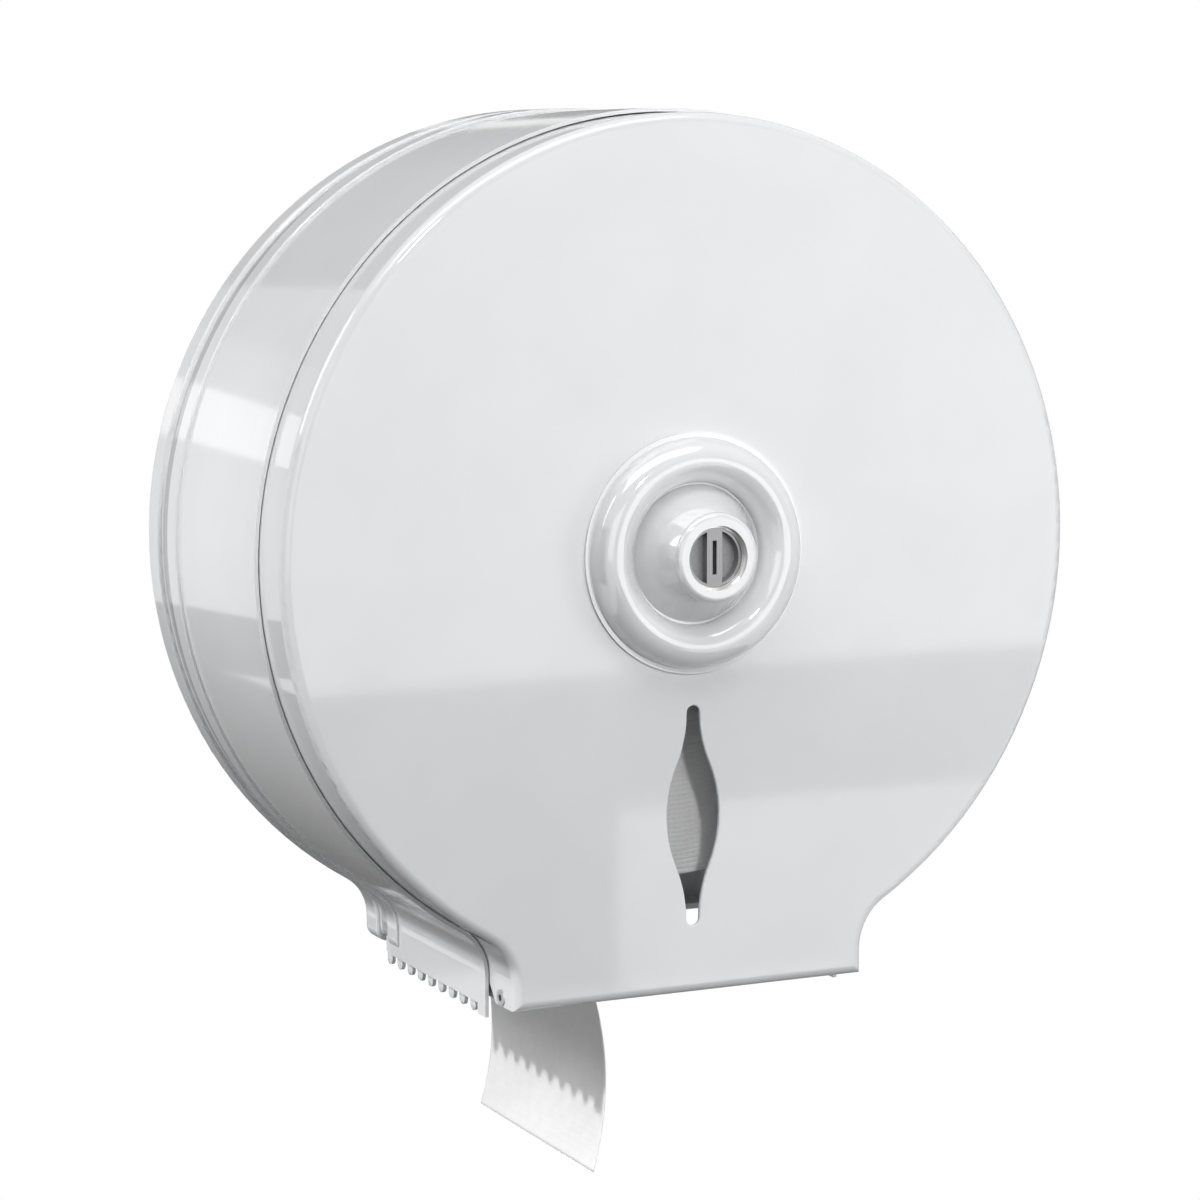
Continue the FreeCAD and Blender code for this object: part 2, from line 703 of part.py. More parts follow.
THROUGH_FLANGE = "flange_sheet + 2 * overrun"
flange_holes = [cylinder("flange_post_hole", "post_radius", THROUGH_FLANGE, out="seat_front - overrun")]
for index, (across, up) in enumerate(RIVET_PLACES):
    flange_holes.append(cylinder("flange_rivet_hole%d" % index, "rivet_shank", THROUGH_FLANGE,
                                 across, up, "seat_front - overrun"))
flange_disc = cylinder("flange_disc", "flange_radius", "flange_sheet", out="seat_front")
subpart(cut("spindle_flange", flange_disc, fuse("flange_holes", *flange_holes)), "spindle_flange")

post_bar = cylinder("post_bar", "post_radius", "post_front - seat_front", out="seat_front")
clip_groove = ring("clip_groove", "post_radius + overrun", "clip_bore", "clip_thick", out="clip_rear")
screw_hole = cylinder("post_screw_hole", "screw_shank", "screw_length + overrun",
                      out="post_front - screw_length")
subpart(cut("spindle_post", post_bar, fuse("post_cuts", clip_groove, screw_hole)), "spindle_post")


def spindle_rivet(name, across, up):
    tail = cylinder(name + "_tail", "rivet_head", "rivet_head_high", across, up,
                    "seat_raise - rivet_head_high")
    shank = cylinder(name + "_shank", "rivet_shank", "flange_front - seat_raise", across, up, "seat_raise")
    head = cylinder(name + "_head", "rivet_head", "rivet_head_high", across, up, "flange_front")
    return fuse(name, tail, shank, head)


group([spindle_rivet("spindle_rivet%d" % index, across, up)
       for index, (across, up) in enumerate(RIVET_PLACES)], "spindle_rivets")
subpart(ring("thrust_washer", "washer_radius", "post_radius", "washer_thick", out="flange_front"),
        "thrust_washer")
clip_mouth = box("clip_mouth", "2 * clip_bore", "clip_radius + overrun", "clip_thick + 2 * overrun",
                 up="-(clip_radius + overrun) / 2", out="clip_rear - overrun")
clip = ring("clip", "clip_radius", "clip_bore", "clip_thick", out="clip_rear")
subpart(cut("hub_clip", clip, clip_mouth), "hub_clip")


# Roll hub: a moulded spool, hollow from the rear, with a disc that keeps the roll off the pan

hub = new_body("roll_hub")
revolve(hub, polygon(hub, "hub_section", "XZ_Plane", "0", [
    ("hub_bore", "hub_rear"),
    ("hub_tube", "hub_rear"),
    ("hub_tube", "disc_rear"),
    ("disc_radius", "disc_rear"),
    ("disc_radius", "disc_front"),
    ("hub_radius", "disc_front"),
    ("hub_radius", "hub_front - hub_nose", "hub_radius - hub_nose", "hub_front - hub_nose", 1),
    ("hub_radius - hub_nose", "hub_front"),
    ("hub_bore", "hub_front")]))
revolve(hub, polygon(hub, "hub_hollow", "XZ_Plane", "0", [
    ("hub_tube", "disc_rear - overrun"),
    ("hub_radius - hub_wall", "disc_rear - overrun"),
    ("hub_radius - hub_wall", "hub_front - hub_web"),
    ("hub_tube", "hub_front - hub_web")]), "PartDesign::Groove")
subpart(hub, "roll_hub")


# Paper: the wound roll hangs on the hub by its card core, and its free end hangs out of the throat

subpart(ring("roll_core", "core_outside", "core_radius", "roll_width", up="-roll_sag", out="roll_rear"),
        "roll_core")
subpart(ring("paper_roll", "roll_radius", "core_outside", "roll_width", up="-roll_sag", out="roll_rear"),
        "paper_roll")

LEAVING = "180 + tail_turn"
CURL = ("curl_across", "-curl_down")
tail = new_body("paper_tail")
pad(tail, polygon(tail, "tail_section", "XY_Plane", "roll_rear", [
    around("0", "-roll_sag", "roll_touch", LEAVING),
    (*around(*CURL, "curl_outside", "tail_turn"), *CURL, -1),
    around(*CURL, "curl_outside", "-tail_end_turn"),
    (*around(*CURL, "curl_inside", "-tail_end_turn"), *CURL, 1),
    around(*CURL, "curl_inside", "tail_turn"),
    around("0", "-roll_sag", "(roll_touch + tail_thick)", LEAVING)]), "roll_width")
subpart(tail, "paper_tail")


# Keeper: a folded catch on the end of the post, with an upright slot that the lock's cam enters

keeper_block = box("keeper_block", "keeper_wide", "keeper_high", "keeper_deep", out="post_front")
keeper_tunnel = box("keeper_tunnel", "keeper_wide + 2 * overrun", "keeper_inside_high",
                    "keeper_lips - keeper_floor", out="keeper_floor")
keeper_slot = box("keeper_slot", "keeper_slot_wide", "keeper_inside_high", "keeper_sheet + overrun",
                  out="keeper_lips")
keeper_hole = cylinder("keeper_hole", "screw_shank", "keeper_sheet + 2 * overrun", out="post_front - overrun")
subpart(cut("keeper_plate", keeper_block, fuse("keeper_cuts", keeper_tunnel, keeper_slot, keeper_hole)),
        "keeper_plate")


def slotted(name, blank, head_radius, slot_rear):
    """Cuts a driver's slot across a screw's head."""
    drive = box(name + "_drive", "2 * (%s + overrun)" % head_radius, "2 * drive_half", "drive_deep + overrun",
                out=slot_rear)
    return cut(name, blank, drive)


keeper_screw_blank = fuse(
    "keeper_screw_blank",
    cylinder("keeper_screw_shank", "screw_shank", "screw_length + keeper_sheet",
             out="post_front - screw_length"),
    cylinder("keeper_screw_head", "screw_head", "screw_head_high", out="keeper_floor"))
keeper_screw = slotted("keeper_screw", keeper_screw_blank, "screw_head",
                       "keeper_floor + screw_head_high - drive_deep")
subpart(keeper_screw, "keeper_screw")


# Front cover: a dished sheet with a flange that laps into the drum, ears at the throat,
# a bottom lip and a leaf-shaped sight slot

cover = new_body("front_cover")
pad(cover, keyhole(cover, "cover", "cover_rear", "0", "cover_bottom"), "case_depth - cover_rear")
round_edges(cover, "cover_round", "cover_edge_fit", outer_edges(cover, "case_depth"))
pocket(cover, keyhole(cover, "cover_hollow", "cover_rear", "cover_inside", "cover_bottom + overrun"),
       "case_depth - cover_rear - lip_depth", forward=True)
pocket(cover, keyhole(cover, "face_hollow", "case_depth - lip_depth", "cover_inside",
                      "cover_bottom - cover_sheet"), "lip_depth - cover_sheet", forward=True)
round_edges(cover, "cover_bend", "cover_bend_fit", outer_edges(cover, "case_depth - cover_sheet"))
pocket(cover, polygon(cover, "ear_trim", "YZ_Plane", "0", [
    ("-cover_bottom", "ear_rear"),
    ("-cover_bottom + ear_slope", "cover_rear"),
    ("-cover_bottom + ear_slope", "cover_rear - overrun"),
    ("-cover_bottom - overrun", "cover_rear - overrun"),
    ("-cover_bottom - overrun", "ear_rear")]), THROUGH_CASE, both_ways=True)
pocket(cover, circles(cover, "hinge_holes", "0", [("-hinge_drop", "hinge_out", "hinge_pin")], "YZ_Plane"),
       THROUGH_CASE, both_ways=True)
pocket(cover, circles(cover, "lock_hole", "case_depth", [("0", "0", "barrel_hole")]), "cover_sheet + overrun")
pocket(cover, polygon(cover, "sight_slot", "XY_Plane", "case_depth", [
    ("slot_end", "-slot_upper", "0", "-slot_upper", 1),
    ("-slot_end", "-slot_upper", "-slot_end - upper_bow", "-slot_upper", -1),
    ("-slot_middle", "-upper_middle", "upper_bow - slot_half", "-slot_belly", 1),
    ("-slot_half", "-slot_belly", "lower_bow - slot_half", "-slot_belly", 1),
    ("-slot_middle", "-lower_middle", "-slot_end - lower_bow", "-slot_lower", -1),
    ("-slot_end", "-slot_lower", "0", "-slot_lower", 1),
    ("slot_end", "-slot_lower", "slot_end + lower_bow", "-slot_lower", -1),
    ("slot_middle", "-lower_middle", "slot_half - lower_bow", "-slot_belly", 1),
    ("slot_half", "-slot_belly", "slot_half - upper_bow", "-slot_belly", 1),
    ("slot_middle", "-upper_middle", "slot_end + upper_bow", "-slot_upper", -1)]), "cover_sheet + overrun")
round_edges(cover, "slot_round", "slot_edge_fit", hole_edges(cover, "case_depth", "-barrel_hole"))
subpart(cover, "front_cover")


# Hinge rivets and washers: hollow rivets that hold the ears to the lugs, with a spacer between

def across_hinge(name, way, radius, inner, outer):
    """A round bar on the hinge's axis between two distances from the middle, on one side."""
    left_end = inner if way > 0 else "-(%s)" % outer
    bar = cylinder(name, radius, "(%s) - (%s)" % (outer, inner), left_end, "-hinge_drop", "hinge_out")
    bar.Placement = Placement(Vector(0, 0, 0), Rotation(Vector(0, 1, 0), 90))
    return bar


def hinge_rivet(name, way):
    blank = fuse(
        name + "_blank",
        across_hinge(name + "_shank", way, "hinge_pin", "rivet_tail_face", "throat_half"),
        across_hinge(name + "_head", way, "hinge_head", "throat_half", "throat_half + hinge_head_high"),
        across_hinge(name + "_tail", way, "hinge_head",
                     "rivet_tail_face - hinge_head_high", "rivet_tail_face"))
    hollow = across_hinge(name + "_hollow", way, "hinge_hollow",
                          "rivet_tail_face - overrun", "throat_half + overrun")
    return cut(name, blank, hollow)


def hinge_washer(name, way):
    disc = across_hinge(name + "_disc", way, "hinge_washer_radius", "hinge_washer_inside", "ear_inside")
    hole = across_hinge(name + "_hole", way, "hinge_pin",
                        "hinge_washer_inside - overrun", "ear_inside + overrun")
    return cut(name, disc, hole)


SIDES = (("left", -1), ("right", 1))
group([hinge_rivet(side + "_hinge_rivet", way) for side, way in SIDES], "hinge_rivets")
group([hinge_washer(side + "_hinge_washer", way) for side, way in SIDES], "hinge_washers")


# Lock rosette: a cast boss with a thin flange, a bulged ring, hollow beneath, and a nose round the lock

rosette = new_body("lock_rosette")
revolve(rosette, polygon(rosette, "rosette_section", "XZ_Plane", "0", [
    ("barrel_hole", "case_depth"),
    ("rosette_edge", "case_depth"),
    ("rosette_edge", "ring_level"),
    ("ring_middle + rosette_ring", "ring_level", "ring_middle", "ring_level", 1),
    ("ring_middle - rosette_ring", "ring_level"),
    ("nose_base", "ring_level"),
    ("nose_radius", "nose_tip - nose_round", "nose_radius - nose_round", "nose_tip - nose_round", 1),
    ("nose_radius - nose_round", "nose_tip"),
    ("nose_mouth", "nose_tip"),
    ("nose_mouth", "barrel_front"),
    ("barrel_hole", "barrel_front")]))
revolve(rosette, polygon(rosette, "rosette_hollow", "XZ_Plane", "0", [
    ("ring_middle + ring_hollow", "case_depth - overrun"),
    ("ring_middle + ring_hollow", "ring_level", "ring_middle", "ring_level", 1),
    ("ring_middle - ring_hollow", "ring_level"),
    ("ring_middle - ring_hollow", "case_depth - overrun")]), "PartDesign::Groove")
subpart(rosette, "lock_rosette")


# Lock barrel, washer and nut: the lock's housing, clamped through rosette and cover

barrel_bar = cylinder("barrel_bar", "barrel_radius", "barrel_front - barrel_rear", out="barrel_rear")
barrel_bore = cylinder("barrel_bore", "plug_bore", "barrel_front - barrel_inside + overrun",
                       out="barrel_inside")
stem_bore = cylinder("stem_bore", "stem_radius + running_gap", "barrel_floor + 2 * overrun",
                     out="barrel_rear - overrun")
subpart(cut("lock_barrel", barrel_bar, fuse("barrel_cuts", barrel_bore, stem_bore)), "lock_barrel")

lock_washer = ring("lock_washer", "lock_washer_radius", "barrel_radius", "lock_washer_thick",
                   out="lock_washer_rear")
subpart(lock_washer, "lock_washer")

nut_blank = doc.addObject("Part::Prism", "lock_nut_blank")
nut_blank.Polygon = 6
bind(nut_blank, Circumradius="nut_radius", Height="nut_thick")
place(nut_blank, out="nut_rear")
nut_hole = cylinder("lock_nut_hole", "barrel_radius", "nut_thick + 2 * overrun", out="nut_rear - overrun")
subpart(cut("lock_nut", nut_blank, nut_hole), "lock_nut")


# Lock plug, cam and screw: the plug's face has two hollows beside an upright bar with a key slot,
# and its stem carries the cam

plug_blank = fuse(
    "plug_blank",
    cylinder("plug_head", "plug_radius", "plug_face - plug_rear", out="plug_rear"),
    cylinder("plug_stem", "stem_radius", "plug_rear - cam_front", out="cam_front"))
plug_hollow = cut(
    "plug_hollow",
    cylinder("plug_hollow_round", "plug_radius - plug_rim", "plug_pocket + overrun", out="pocket_floor"),
    box("plug_bar", "2 * plug_bar_half", "2 * (plug_radius + overrun)", "plug_pocket + 2 * overrun",
        out="pocket_floor - overrun"))
key_slot = box("key_slot", "2 * key_slot_half", "2 * key_slot_reach", "plug_pocket + overrun",
               out="pocket_floor")
stem_hole = cylinder("stem_screw_hole", "cam_screw_shank", "cam_screw_length - cam_thick + overrun",
                     out="cam_front - overrun")
subpart(cut("lock_plug", plug_blank, fuse("plug_cuts", plug_hollow, key_slot, stem_hole)), "lock_plug")

cam_bar = doc.addObject("Part::Common", "cam_bar")
cam_bar.Base = box("cam_block", "2 * cam_half_wide", "2 * cam_half_long", "cam_thick", out="cam_rear")
cam_bar.Tool = cylinder("cam_round", "cam_half_long", "cam_thick", out="cam_rear")
cam_hole = cylinder("cam_hole", "cam_screw_shank", "cam_thick + 2 * overrun", out="cam_rear - overrun")
subpart(cut("lock_cam", cam_bar, cam_hole), "lock_cam")

cam_screw_blank = fuse(
    "cam_screw_blank",
    cylinder("cam_screw_shank_bar", "cam_screw_shank", "cam_screw_length", out="cam_rear"),
    cylinder("cam_screw_head_disc", "cam_screw_head", "cam_screw_head_high",
             out="cam_rear - cam_screw_head_high"))
subpart(slotted("cam_screw", cam_screw_blank, "cam_screw_head", "cam_rear - cam_screw_head_high - overrun"),
        "cam_screw")


# Checks, then one file for each piece

doc.recompute()
faults = [item.Name for item in doc.Objects if "Invalid" in item.State or "Error" in item.State]
faults += [item.Label for item in SUBPARTS if item.Shape.isNull() or not item.Shape.isValid()]
if faults:
    raise RuntimeError("failed: " + ", ".join(faults))
os.makedirs("parts", exist_ok=True)
for item in SUBPARTS:
    item.Shape.exportStep("parts/%s.step" % item.Label)
    print("%-20s solids %d  volume %.1f" % (item.Label, len(item.Shape.Solids), item.Shape.Volume))
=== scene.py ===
import math

import bpy
from mathutils import Matrix, Vector, noise


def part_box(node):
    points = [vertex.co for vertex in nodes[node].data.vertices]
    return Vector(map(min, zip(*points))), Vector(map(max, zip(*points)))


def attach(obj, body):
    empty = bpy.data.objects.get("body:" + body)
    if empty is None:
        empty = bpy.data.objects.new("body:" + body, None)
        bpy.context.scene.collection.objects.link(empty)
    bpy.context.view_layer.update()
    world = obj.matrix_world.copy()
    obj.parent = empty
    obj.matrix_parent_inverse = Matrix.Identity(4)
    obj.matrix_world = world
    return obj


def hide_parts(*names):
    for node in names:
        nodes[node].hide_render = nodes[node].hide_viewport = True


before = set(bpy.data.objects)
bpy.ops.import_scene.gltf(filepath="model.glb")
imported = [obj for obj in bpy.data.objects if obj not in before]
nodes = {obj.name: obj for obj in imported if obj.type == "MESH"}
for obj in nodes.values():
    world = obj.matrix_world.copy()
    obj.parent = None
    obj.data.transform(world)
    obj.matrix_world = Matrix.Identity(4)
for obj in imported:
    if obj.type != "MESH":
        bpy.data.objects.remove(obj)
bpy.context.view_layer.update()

# Back pan: one deep-drawn steel pressing, with a rolled rim against the wall, a groove, and the band
# that grips the drum. Like the whole case it is powder coated white and stoved to a gloss.


def node(tree, kind, inputs=None, **settings):
    """Adds a node to a tree. An input is given as a value, or as the socket that feeds it."""
    made = tree.nodes.new(kind)
    for name, setting in settings.items():
        setattr(made, name, setting)
    for socket, given in (inputs or {}).items():
        if isinstance(given, bpy.types.NodeSocket):
            tree.links.new(given, made.inputs[socket])
        else:
            made.inputs[socket].default_value = given
    return made


def effect(name, inputs, outputs):
    """A shader node group with named number inputs and named outputs. Gives the tree, in and out nodes."""
    tree = bpy.data.node_groups.new(name, "ShaderNodeTree")
    for label, default in inputs.items():
        socket = tree.interface.new_socket(label, in_out="INPUT", socket_type="NodeSocketFloat")
        socket.default_value = default
    for label in outputs:
        tree.interface.new_socket(label, in_out="OUTPUT", socket_type="NodeSocketFloat")
    return tree, tree.nodes.new("NodeGroupInput").outputs, tree.nodes.new("NodeGroupOutput").inputs


def sums(tree, operation, *terms):
    """One arithmetic step on values or sockets."""
    return node(tree, "ShaderNodeMath", dict(enumerate(terms)), operation=operation).outputs[0]


def object_place(tree):
    return node(tree, "ShaderNodeTexCoord").outputs["Object"]


def object_normal(tree):
    return node(tree, "ShaderNodeTexCoord").outputs["Normal"]


def parts_of(tree, place):
    """A place or direction as its X, Y and Z."""
    return node(tree, "ShaderNodeSeparateXYZ", {0: place}).outputs


def grain(tree, place, scale, detail=2.0):
    """Smooth noise about this many times per metre."""
    made = node(tree, "ShaderNodeTexNoise", {"Vector": place, "Scale": scale, "Detail": detail})
    return made.outputs[0]


def ramped(tree, amount, low, high):
    """Runs from 0 at low to 1 at high, with eased ends."""
    made = node(tree, "ShaderNodeMapRange", {0: amount, 1: low, 2: high}, interpolation_type="SMOOTHSTEP")
    return made.outputs[0]


def spread(tree, mask, at_none, at_full):
    """Runs evenly between two values as a mask goes from 0 to 1."""
    return node(tree, "ShaderNodeMapRange", {0: mask, 3: at_none, 4: at_full}).outputs[0]


def mixed(tree, amount, first, second):
    """A colour between two others."""
    made = node(tree, "ShaderNodeMix", {0: amount, 6: first, 7: second}, data_type="RGBA")
    return made.outputs[2]


def placed(tree, group, **inputs):
    """A shared effect with its own values in this tree."""
    made = node(tree, "ShaderNodeGroup", node_tree=group)
    for label, given in inputs.items():
        made.inputs[label.replace("_", " ")].default_value = given
    return made.outputs


def new_finish(name):
    """A material with an empty tree but for its surface shader."""
    material = bpy.data.materials.new(name)
    material.use_nodes = True
    return material, material.node_tree, material.node_tree.nodes["Principled BSDF"]


def feed(tree, shader, **sockets):
    """Links outputs to the shader, such as Base_Color=socket, or sets plain values."""
    for label, given in sockets.items():
        socket = shader.inputs[label.replace("_", " ")]
        if isinstance(given, bpy.types.NodeSocket):
            tree.links.new(given, socket)
        else:
            socket.default_value = given


def bumped(tree, height, distance):
    """A surface normal roughened by a height, which counts in this many metres."""
    return node(tree, "ShaderNodeBump", {"Height": height, "Distance": distance}).outputs["Normal"]


def wear(piece, material):
    """Gives a CAD node its finish."""
    nodes[piece].data.materials.clear()
    nodes[piece].data.materials.append(material)


# stoved powder flows into a faint orange peel over sheet that is never quite flat
COAT_CLOUDS = 31.0
COAT_SMEARS = 95.0
coat_skin, told, put = effect(
    "coat skin", {"Peel per metre": 520.0, "Dents per metre": 13.0, "Peel share": 0.035},
    ("Height", "Shade", "Dullness"))
spot = object_place(coat_skin)
peel = grain(coat_skin, spot, told["Peel per metre"], detail=1.5)
dents = grain(coat_skin, spot, told["Dents per metre"], detail=0.0)
raised_peel = sums(coat_skin, "MULTIPLY", peel, told["Peel share"])
clouds = grain(coat_skin, spot, COAT_CLOUDS, detail=3.0)
smears = grain(coat_skin, spot, COAT_SMEARS, detail=4.0)
coat_skin.links.new(sums(coat_skin, "ADD", raised_peel, dents), put["Height"])
coat_skin.links.new(ramped(coat_skin, clouds, low=0.3, high=0.7), put["Shade"])
coat_skin.links.new(ramped(coat_skin, smears, low=0.35, high=0.8), put["Dullness"])

# washroom dust lies thinly on whatever faces up
settled_dust, told, put = effect("settled dust", {"Specks per metre": 700.0}, ("Mask",))
upward = parts_of(settled_dust, object_normal(settled_dust))["Z"]
facing_up = ramped(settled_dust, upward, low=0.35, high=1.0)
specks = grain(settled_dust, object_place(settled_dust), told["Specks per metre"], detail=3.0)
scattered = ramped(settled_dust, specks, low=0.45, high=0.75)
settled_dust.links.new(sums(settled_dust, "MULTIPLY", facing_up, scattered), put["Mask"])

COAT_WHITE = (0.735, 0.74, 0.75, 1.0)
COAT_SHADE = (0.715, 0.72, 0.735, 1.0)
DUST_GREY = (0.58, 0.56, 0.53, 1.0)
GROOVE_SHADE_GREY = (0.42, 0.42, 0.435, 1.0)
DUST_SHARE = 0.10
GLOSS_SPREAD = 0.05
COAT_IOR = 1.6
LACQUER_IOR = 1.7
LACQUER_ROUGHNESS = 0.04
COAT_DEPTH = 0.00006


def coat_finish(name, dents, peel_share, dents_depth=COAT_DEPTH, dullest=0.11, lacquer=0.0, painted_shade=None):
    """White stoved powder, with its own waviness and peel, maybe lacquered, or with painted shade by a
    mask.
    """
    material, tree, shader = new_finish(name)
    skin = placed(tree, coat_skin, Dents_per_metre=dents, Peel_share=peel_share)
    dust = sums(tree, "MULTIPLY", placed(tree, settled_dust)["Mask"], DUST_SHARE)
    colour = mixed(tree, dust, mixed(tree, skin["Shade"], COAT_WHITE, COAT_SHADE), DUST_GREY)
    # a mask may darken the coat here with painted shade
    if painted_shade:
        colour = mixed(tree, painted_shade(tree), colour, GROOVE_SHADE_GREY)
    dull = spread(tree, skin["Dullness"], dullest - GLOSS_SPREAD, dullest)
    feed(tree, shader, Base_Color=colour, Roughness=sums(tree, "ADD", dull, dust),
         Normal=bumped(tree, skin["Height"], dents_depth), IOR=COAT_IOR,
         Coat_Weight=lacquer, Coat_IOR=LACQUER_IOR, Coat_Roughness=LACQUER_ROUGHNESS)
    return material


# painted shade: the groove between rim and band is darkened, so that it is the greyest part
GROOVE_REAR = -0.0132
GROOVE_FRONT = -0.0206
GROOVE_FADE = 0.0012


def groove_painted_shade(tree):
    """A painted shade mask that is full in the groove and fades at its two edges."""
    out = parts_of(tree, object_place(tree))["Y"]
    behind = ramped(tree, out, GROOVE_REAR, GROOVE_REAR - GROOVE_FADE)
    ahead = ramped(tree, out, GROOVE_FRONT, GROOVE_FRONT + GROOVE_FADE)
    return sums(tree, "MULTIPLY", behind, ahead)


# the pan's groove gets painted shade
wear("back_pan", coat_finish("pan_coat", dents=20.0, peel_share=0.03, painted_shade=groove_painted_shade))

# Drum wall: one strip of 1.2 mm sheet rolled to the case outline and welded inside the pan's band.
# Its throat sides are cut off straight, so the teeth of the tear bars stand out below.

wear("drum_wall", coat_finish("drum_coat", dents=9.0, peel_share=0.03))

# Tear bars: toothed strips spot welded inside the throat. They are coated with the case, and the
# paper has rubbed the coat thin along the tips of the teeth.

BAR_STEEL = (0.42, 0.43, 0.45, 1.0)
BAR_IOR = 1.5
TOOTH_LENGTH = 0.004
RUBBED_SHARE = 0.55
SCUFFS = 900.0
tear_coat, tree, shader = new_finish("tear_bar_coat")
skin = placed(tree, coat_skin, Dents_per_metre=30.0, Peel_share=0.05)
bar_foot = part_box("left_tear_bar")[0].z
height = parts_of(tree, object_place(tree))["Z"]
tip = ramped(tree, height, bar_foot + RUBBED_SHARE * TOOTH_LENGTH, bar_foot)
scuffed = ramped(tree, grain(tree, object_place(tree), SCUFFS, detail=3.0), low=0.42, high=0.62)
rubbed = sums(tree, "MULTIPLY", tip, scuffed)
feed(tree, shader, Base_Color=mixed(tree, rubbed, COAT_WHITE, BAR_STEEL), Metallic=rubbed, IOR=BAR_IOR,
     Roughness=spread(tree, rubbed, at_none=0.2, at_full=0.42),
     Normal=bumped(tree, skin["Height"], COAT_DEPTH))
for side in ("left", "right"):
    wear(side + "_tear_bar", tear_coat)

# Hinge brackets and cover stops: small pressings welded inside the case, the brackets zinc plated
# because the hinge rivets turn in them, and the stops coated with the drum.

# zinc plating is a pale blue-grey with soft cloudy patches over the lines of the rolled sheet
ROLLED_STRETCH = (1.0, 0.04, 1.0)
zinc_skin, told, put = effect(
    "zinc skin", {"Clouds per metre": 160.0, "Lines per metre": 2600.0}, ("Cloud", "Height"))
spot = object_place(zinc_skin)
stretched = node(zinc_skin, "ShaderNodeMapping", {"Vector": spot, "Scale": ROLLED_STRETCH}).outputs[0]
clouds = grain(zinc_skin, spot, told["Clouds per metre"], detail=4.0)
zinc_skin.links.new(ramped(zinc_skin, clouds, low=0.3, high=0.7), put["Cloud"])
zinc_skin.links.new(grain(zinc_skin, stretched, told["Lines per metre"]), put["Height"])

ZINC_BRIGHT = (0.66, 0.68, 0.71, 1.0)
ZINC_DULL = (0.50, 0.51, 0.53, 1.0)


def zinc_finish(name, clouds, lines, line_depth=0.000006):
    """Zinc plate over steel, with its own clouds and rolling or turning lines."""
    material, tree, shader = new_finish(name)
    skin = placed(tree, zinc_skin, Clouds_per_metre=clouds, Lines_per_metre=lines)
    feed(tree, shader, Base_Color=mixed(tree, skin["Cloud"], ZINC_BRIGHT, ZINC_DULL), Metallic=1.0,
         Roughness=spread(tree, skin["Cloud"], at_none=0.26, at_full=0.44),
         Normal=bumped(tree, skin["Height"], line_depth))
    return material


bracket_zinc = zinc_finish("bracket_zinc", clouds=160.0, lines=2600.0)
for side in ("left", "right"):
    wear(side + "_hinge_bracket", bracket_zinc)
wear("cover_stops", coat_finish("stop_coat", dents=40.0, peel_share=0.05))

# Spindle: a flange riveted to the pan's seat, with a turned steel post that carries the hub between a
# plastic thrust washer and a spring clip. All its steel is zinc plated.

post_steel = zinc_finish("post_steel", clouds=90.0, lines=5200.0, line_depth=0.00001)
for piece in ("spindle_flange", "spindle_post", "spindle_rivets", "hub_clip"):
    wear(piece, post_steel)

# Roll hub: a grey moulded spool that turns on the post. The roll's card core hangs on it, and its
# disc keeps the paper off the pan. The washer behind it is cut from the same plastic.

HUB_GREY = (0.30, 0.31, 0.33, 1.0)
HUB_RUBBED = (0.38, 0.39, 0.41, 1.0)
HUB_IOR = 1.48
SPARK_DEPTH = 0.00003
MOULD_SPARK = 2400.0
POLISHED_PATCHES = 60.0
hub_plastic, tree, shader = new_finish("hub_plastic")
spark = grain(tree, object_place(tree), MOULD_SPARK)
polish = ramped(tree, grain(tree, object_place(tree), POLISHED_PATCHES, detail=3.0), low=0.4, high=0.75)
feed(tree, shader, Base_Color=mixed(tree, polish, HUB_GREY, HUB_RUBBED), IOR=HUB_IOR,
     Roughness=spread(tree, polish, at_none=0.55, at_full=0.38),
     Normal=bumped(tree, spark, SPARK_DEPTH))
for piece in ("roll_hub", "thrust_washer"):
    wear(piece, hub_plastic)

# Roll core: a tube wound from strips of grey-brown card on a slant, so that a butt seam climbs round
# it. It hangs loosely on the hub, inside the paper.


def parts_from(tree, point):
    """Object places as X, Y and Z from a point."""
    moved = node(tree, "ShaderNodeVectorMath", {0: object_place(tree), 1: point}, operation="SUBTRACT")
    return parts_of(tree, moved.outputs[0])


CARD_PALE = (0.52, 0.43, 0.32, 1.0)
CARD_DARK = (0.36, 0.29, 0.21, 1.0)
CARD_ROUGHNESS = 0.85
CARD_DEPTH = 0.00012
CARD_FIBRES = 800.0
SEAM_RISE = 0.062
SEAM_TURN = 0.5
SEAM_EDGE = 0.012
SEAM_FLOOR = 0.004
core_low, core_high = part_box("roll_core")
core_axis = (core_low + core_high) / 2
core_card, tree, shader = new_finish("core_card")
part = parts_from(tree, core_axis)
turn = sums(tree, "DIVIDE", sums(tree, "ARCTAN2", part["Z"], part["X"]), 2 * math.pi)
along = sums(tree, "FRACT", sums(tree, "ADD", turn, sums(tree, "DIVIDE", part["Y"], SEAM_RISE)))
from_seam = sums(tree, "ABSOLUTE", sums(tree, "SUBTRACT", along, SEAM_TURN))
seam = ramped(tree, from_seam, SEAM_EDGE, SEAM_FLOOR)
fibres = grain(tree, object_place(tree), CARD_FIBRES, detail=6.0)
darker = sums(tree, "MAXIMUM", seam, ramped(tree, fibres, low=0.3, high=0.75))
feed(tree, shader, Base_Color=mixed(tree, darker, CARD_PALE, CARD_DARK), Roughness=CARD_ROUGHNESS,
     Normal=bumped(tree, sums(tree, "SUBTRACT", fibres, seam), CARD_DEPTH))
wear("roll_core", core_card)
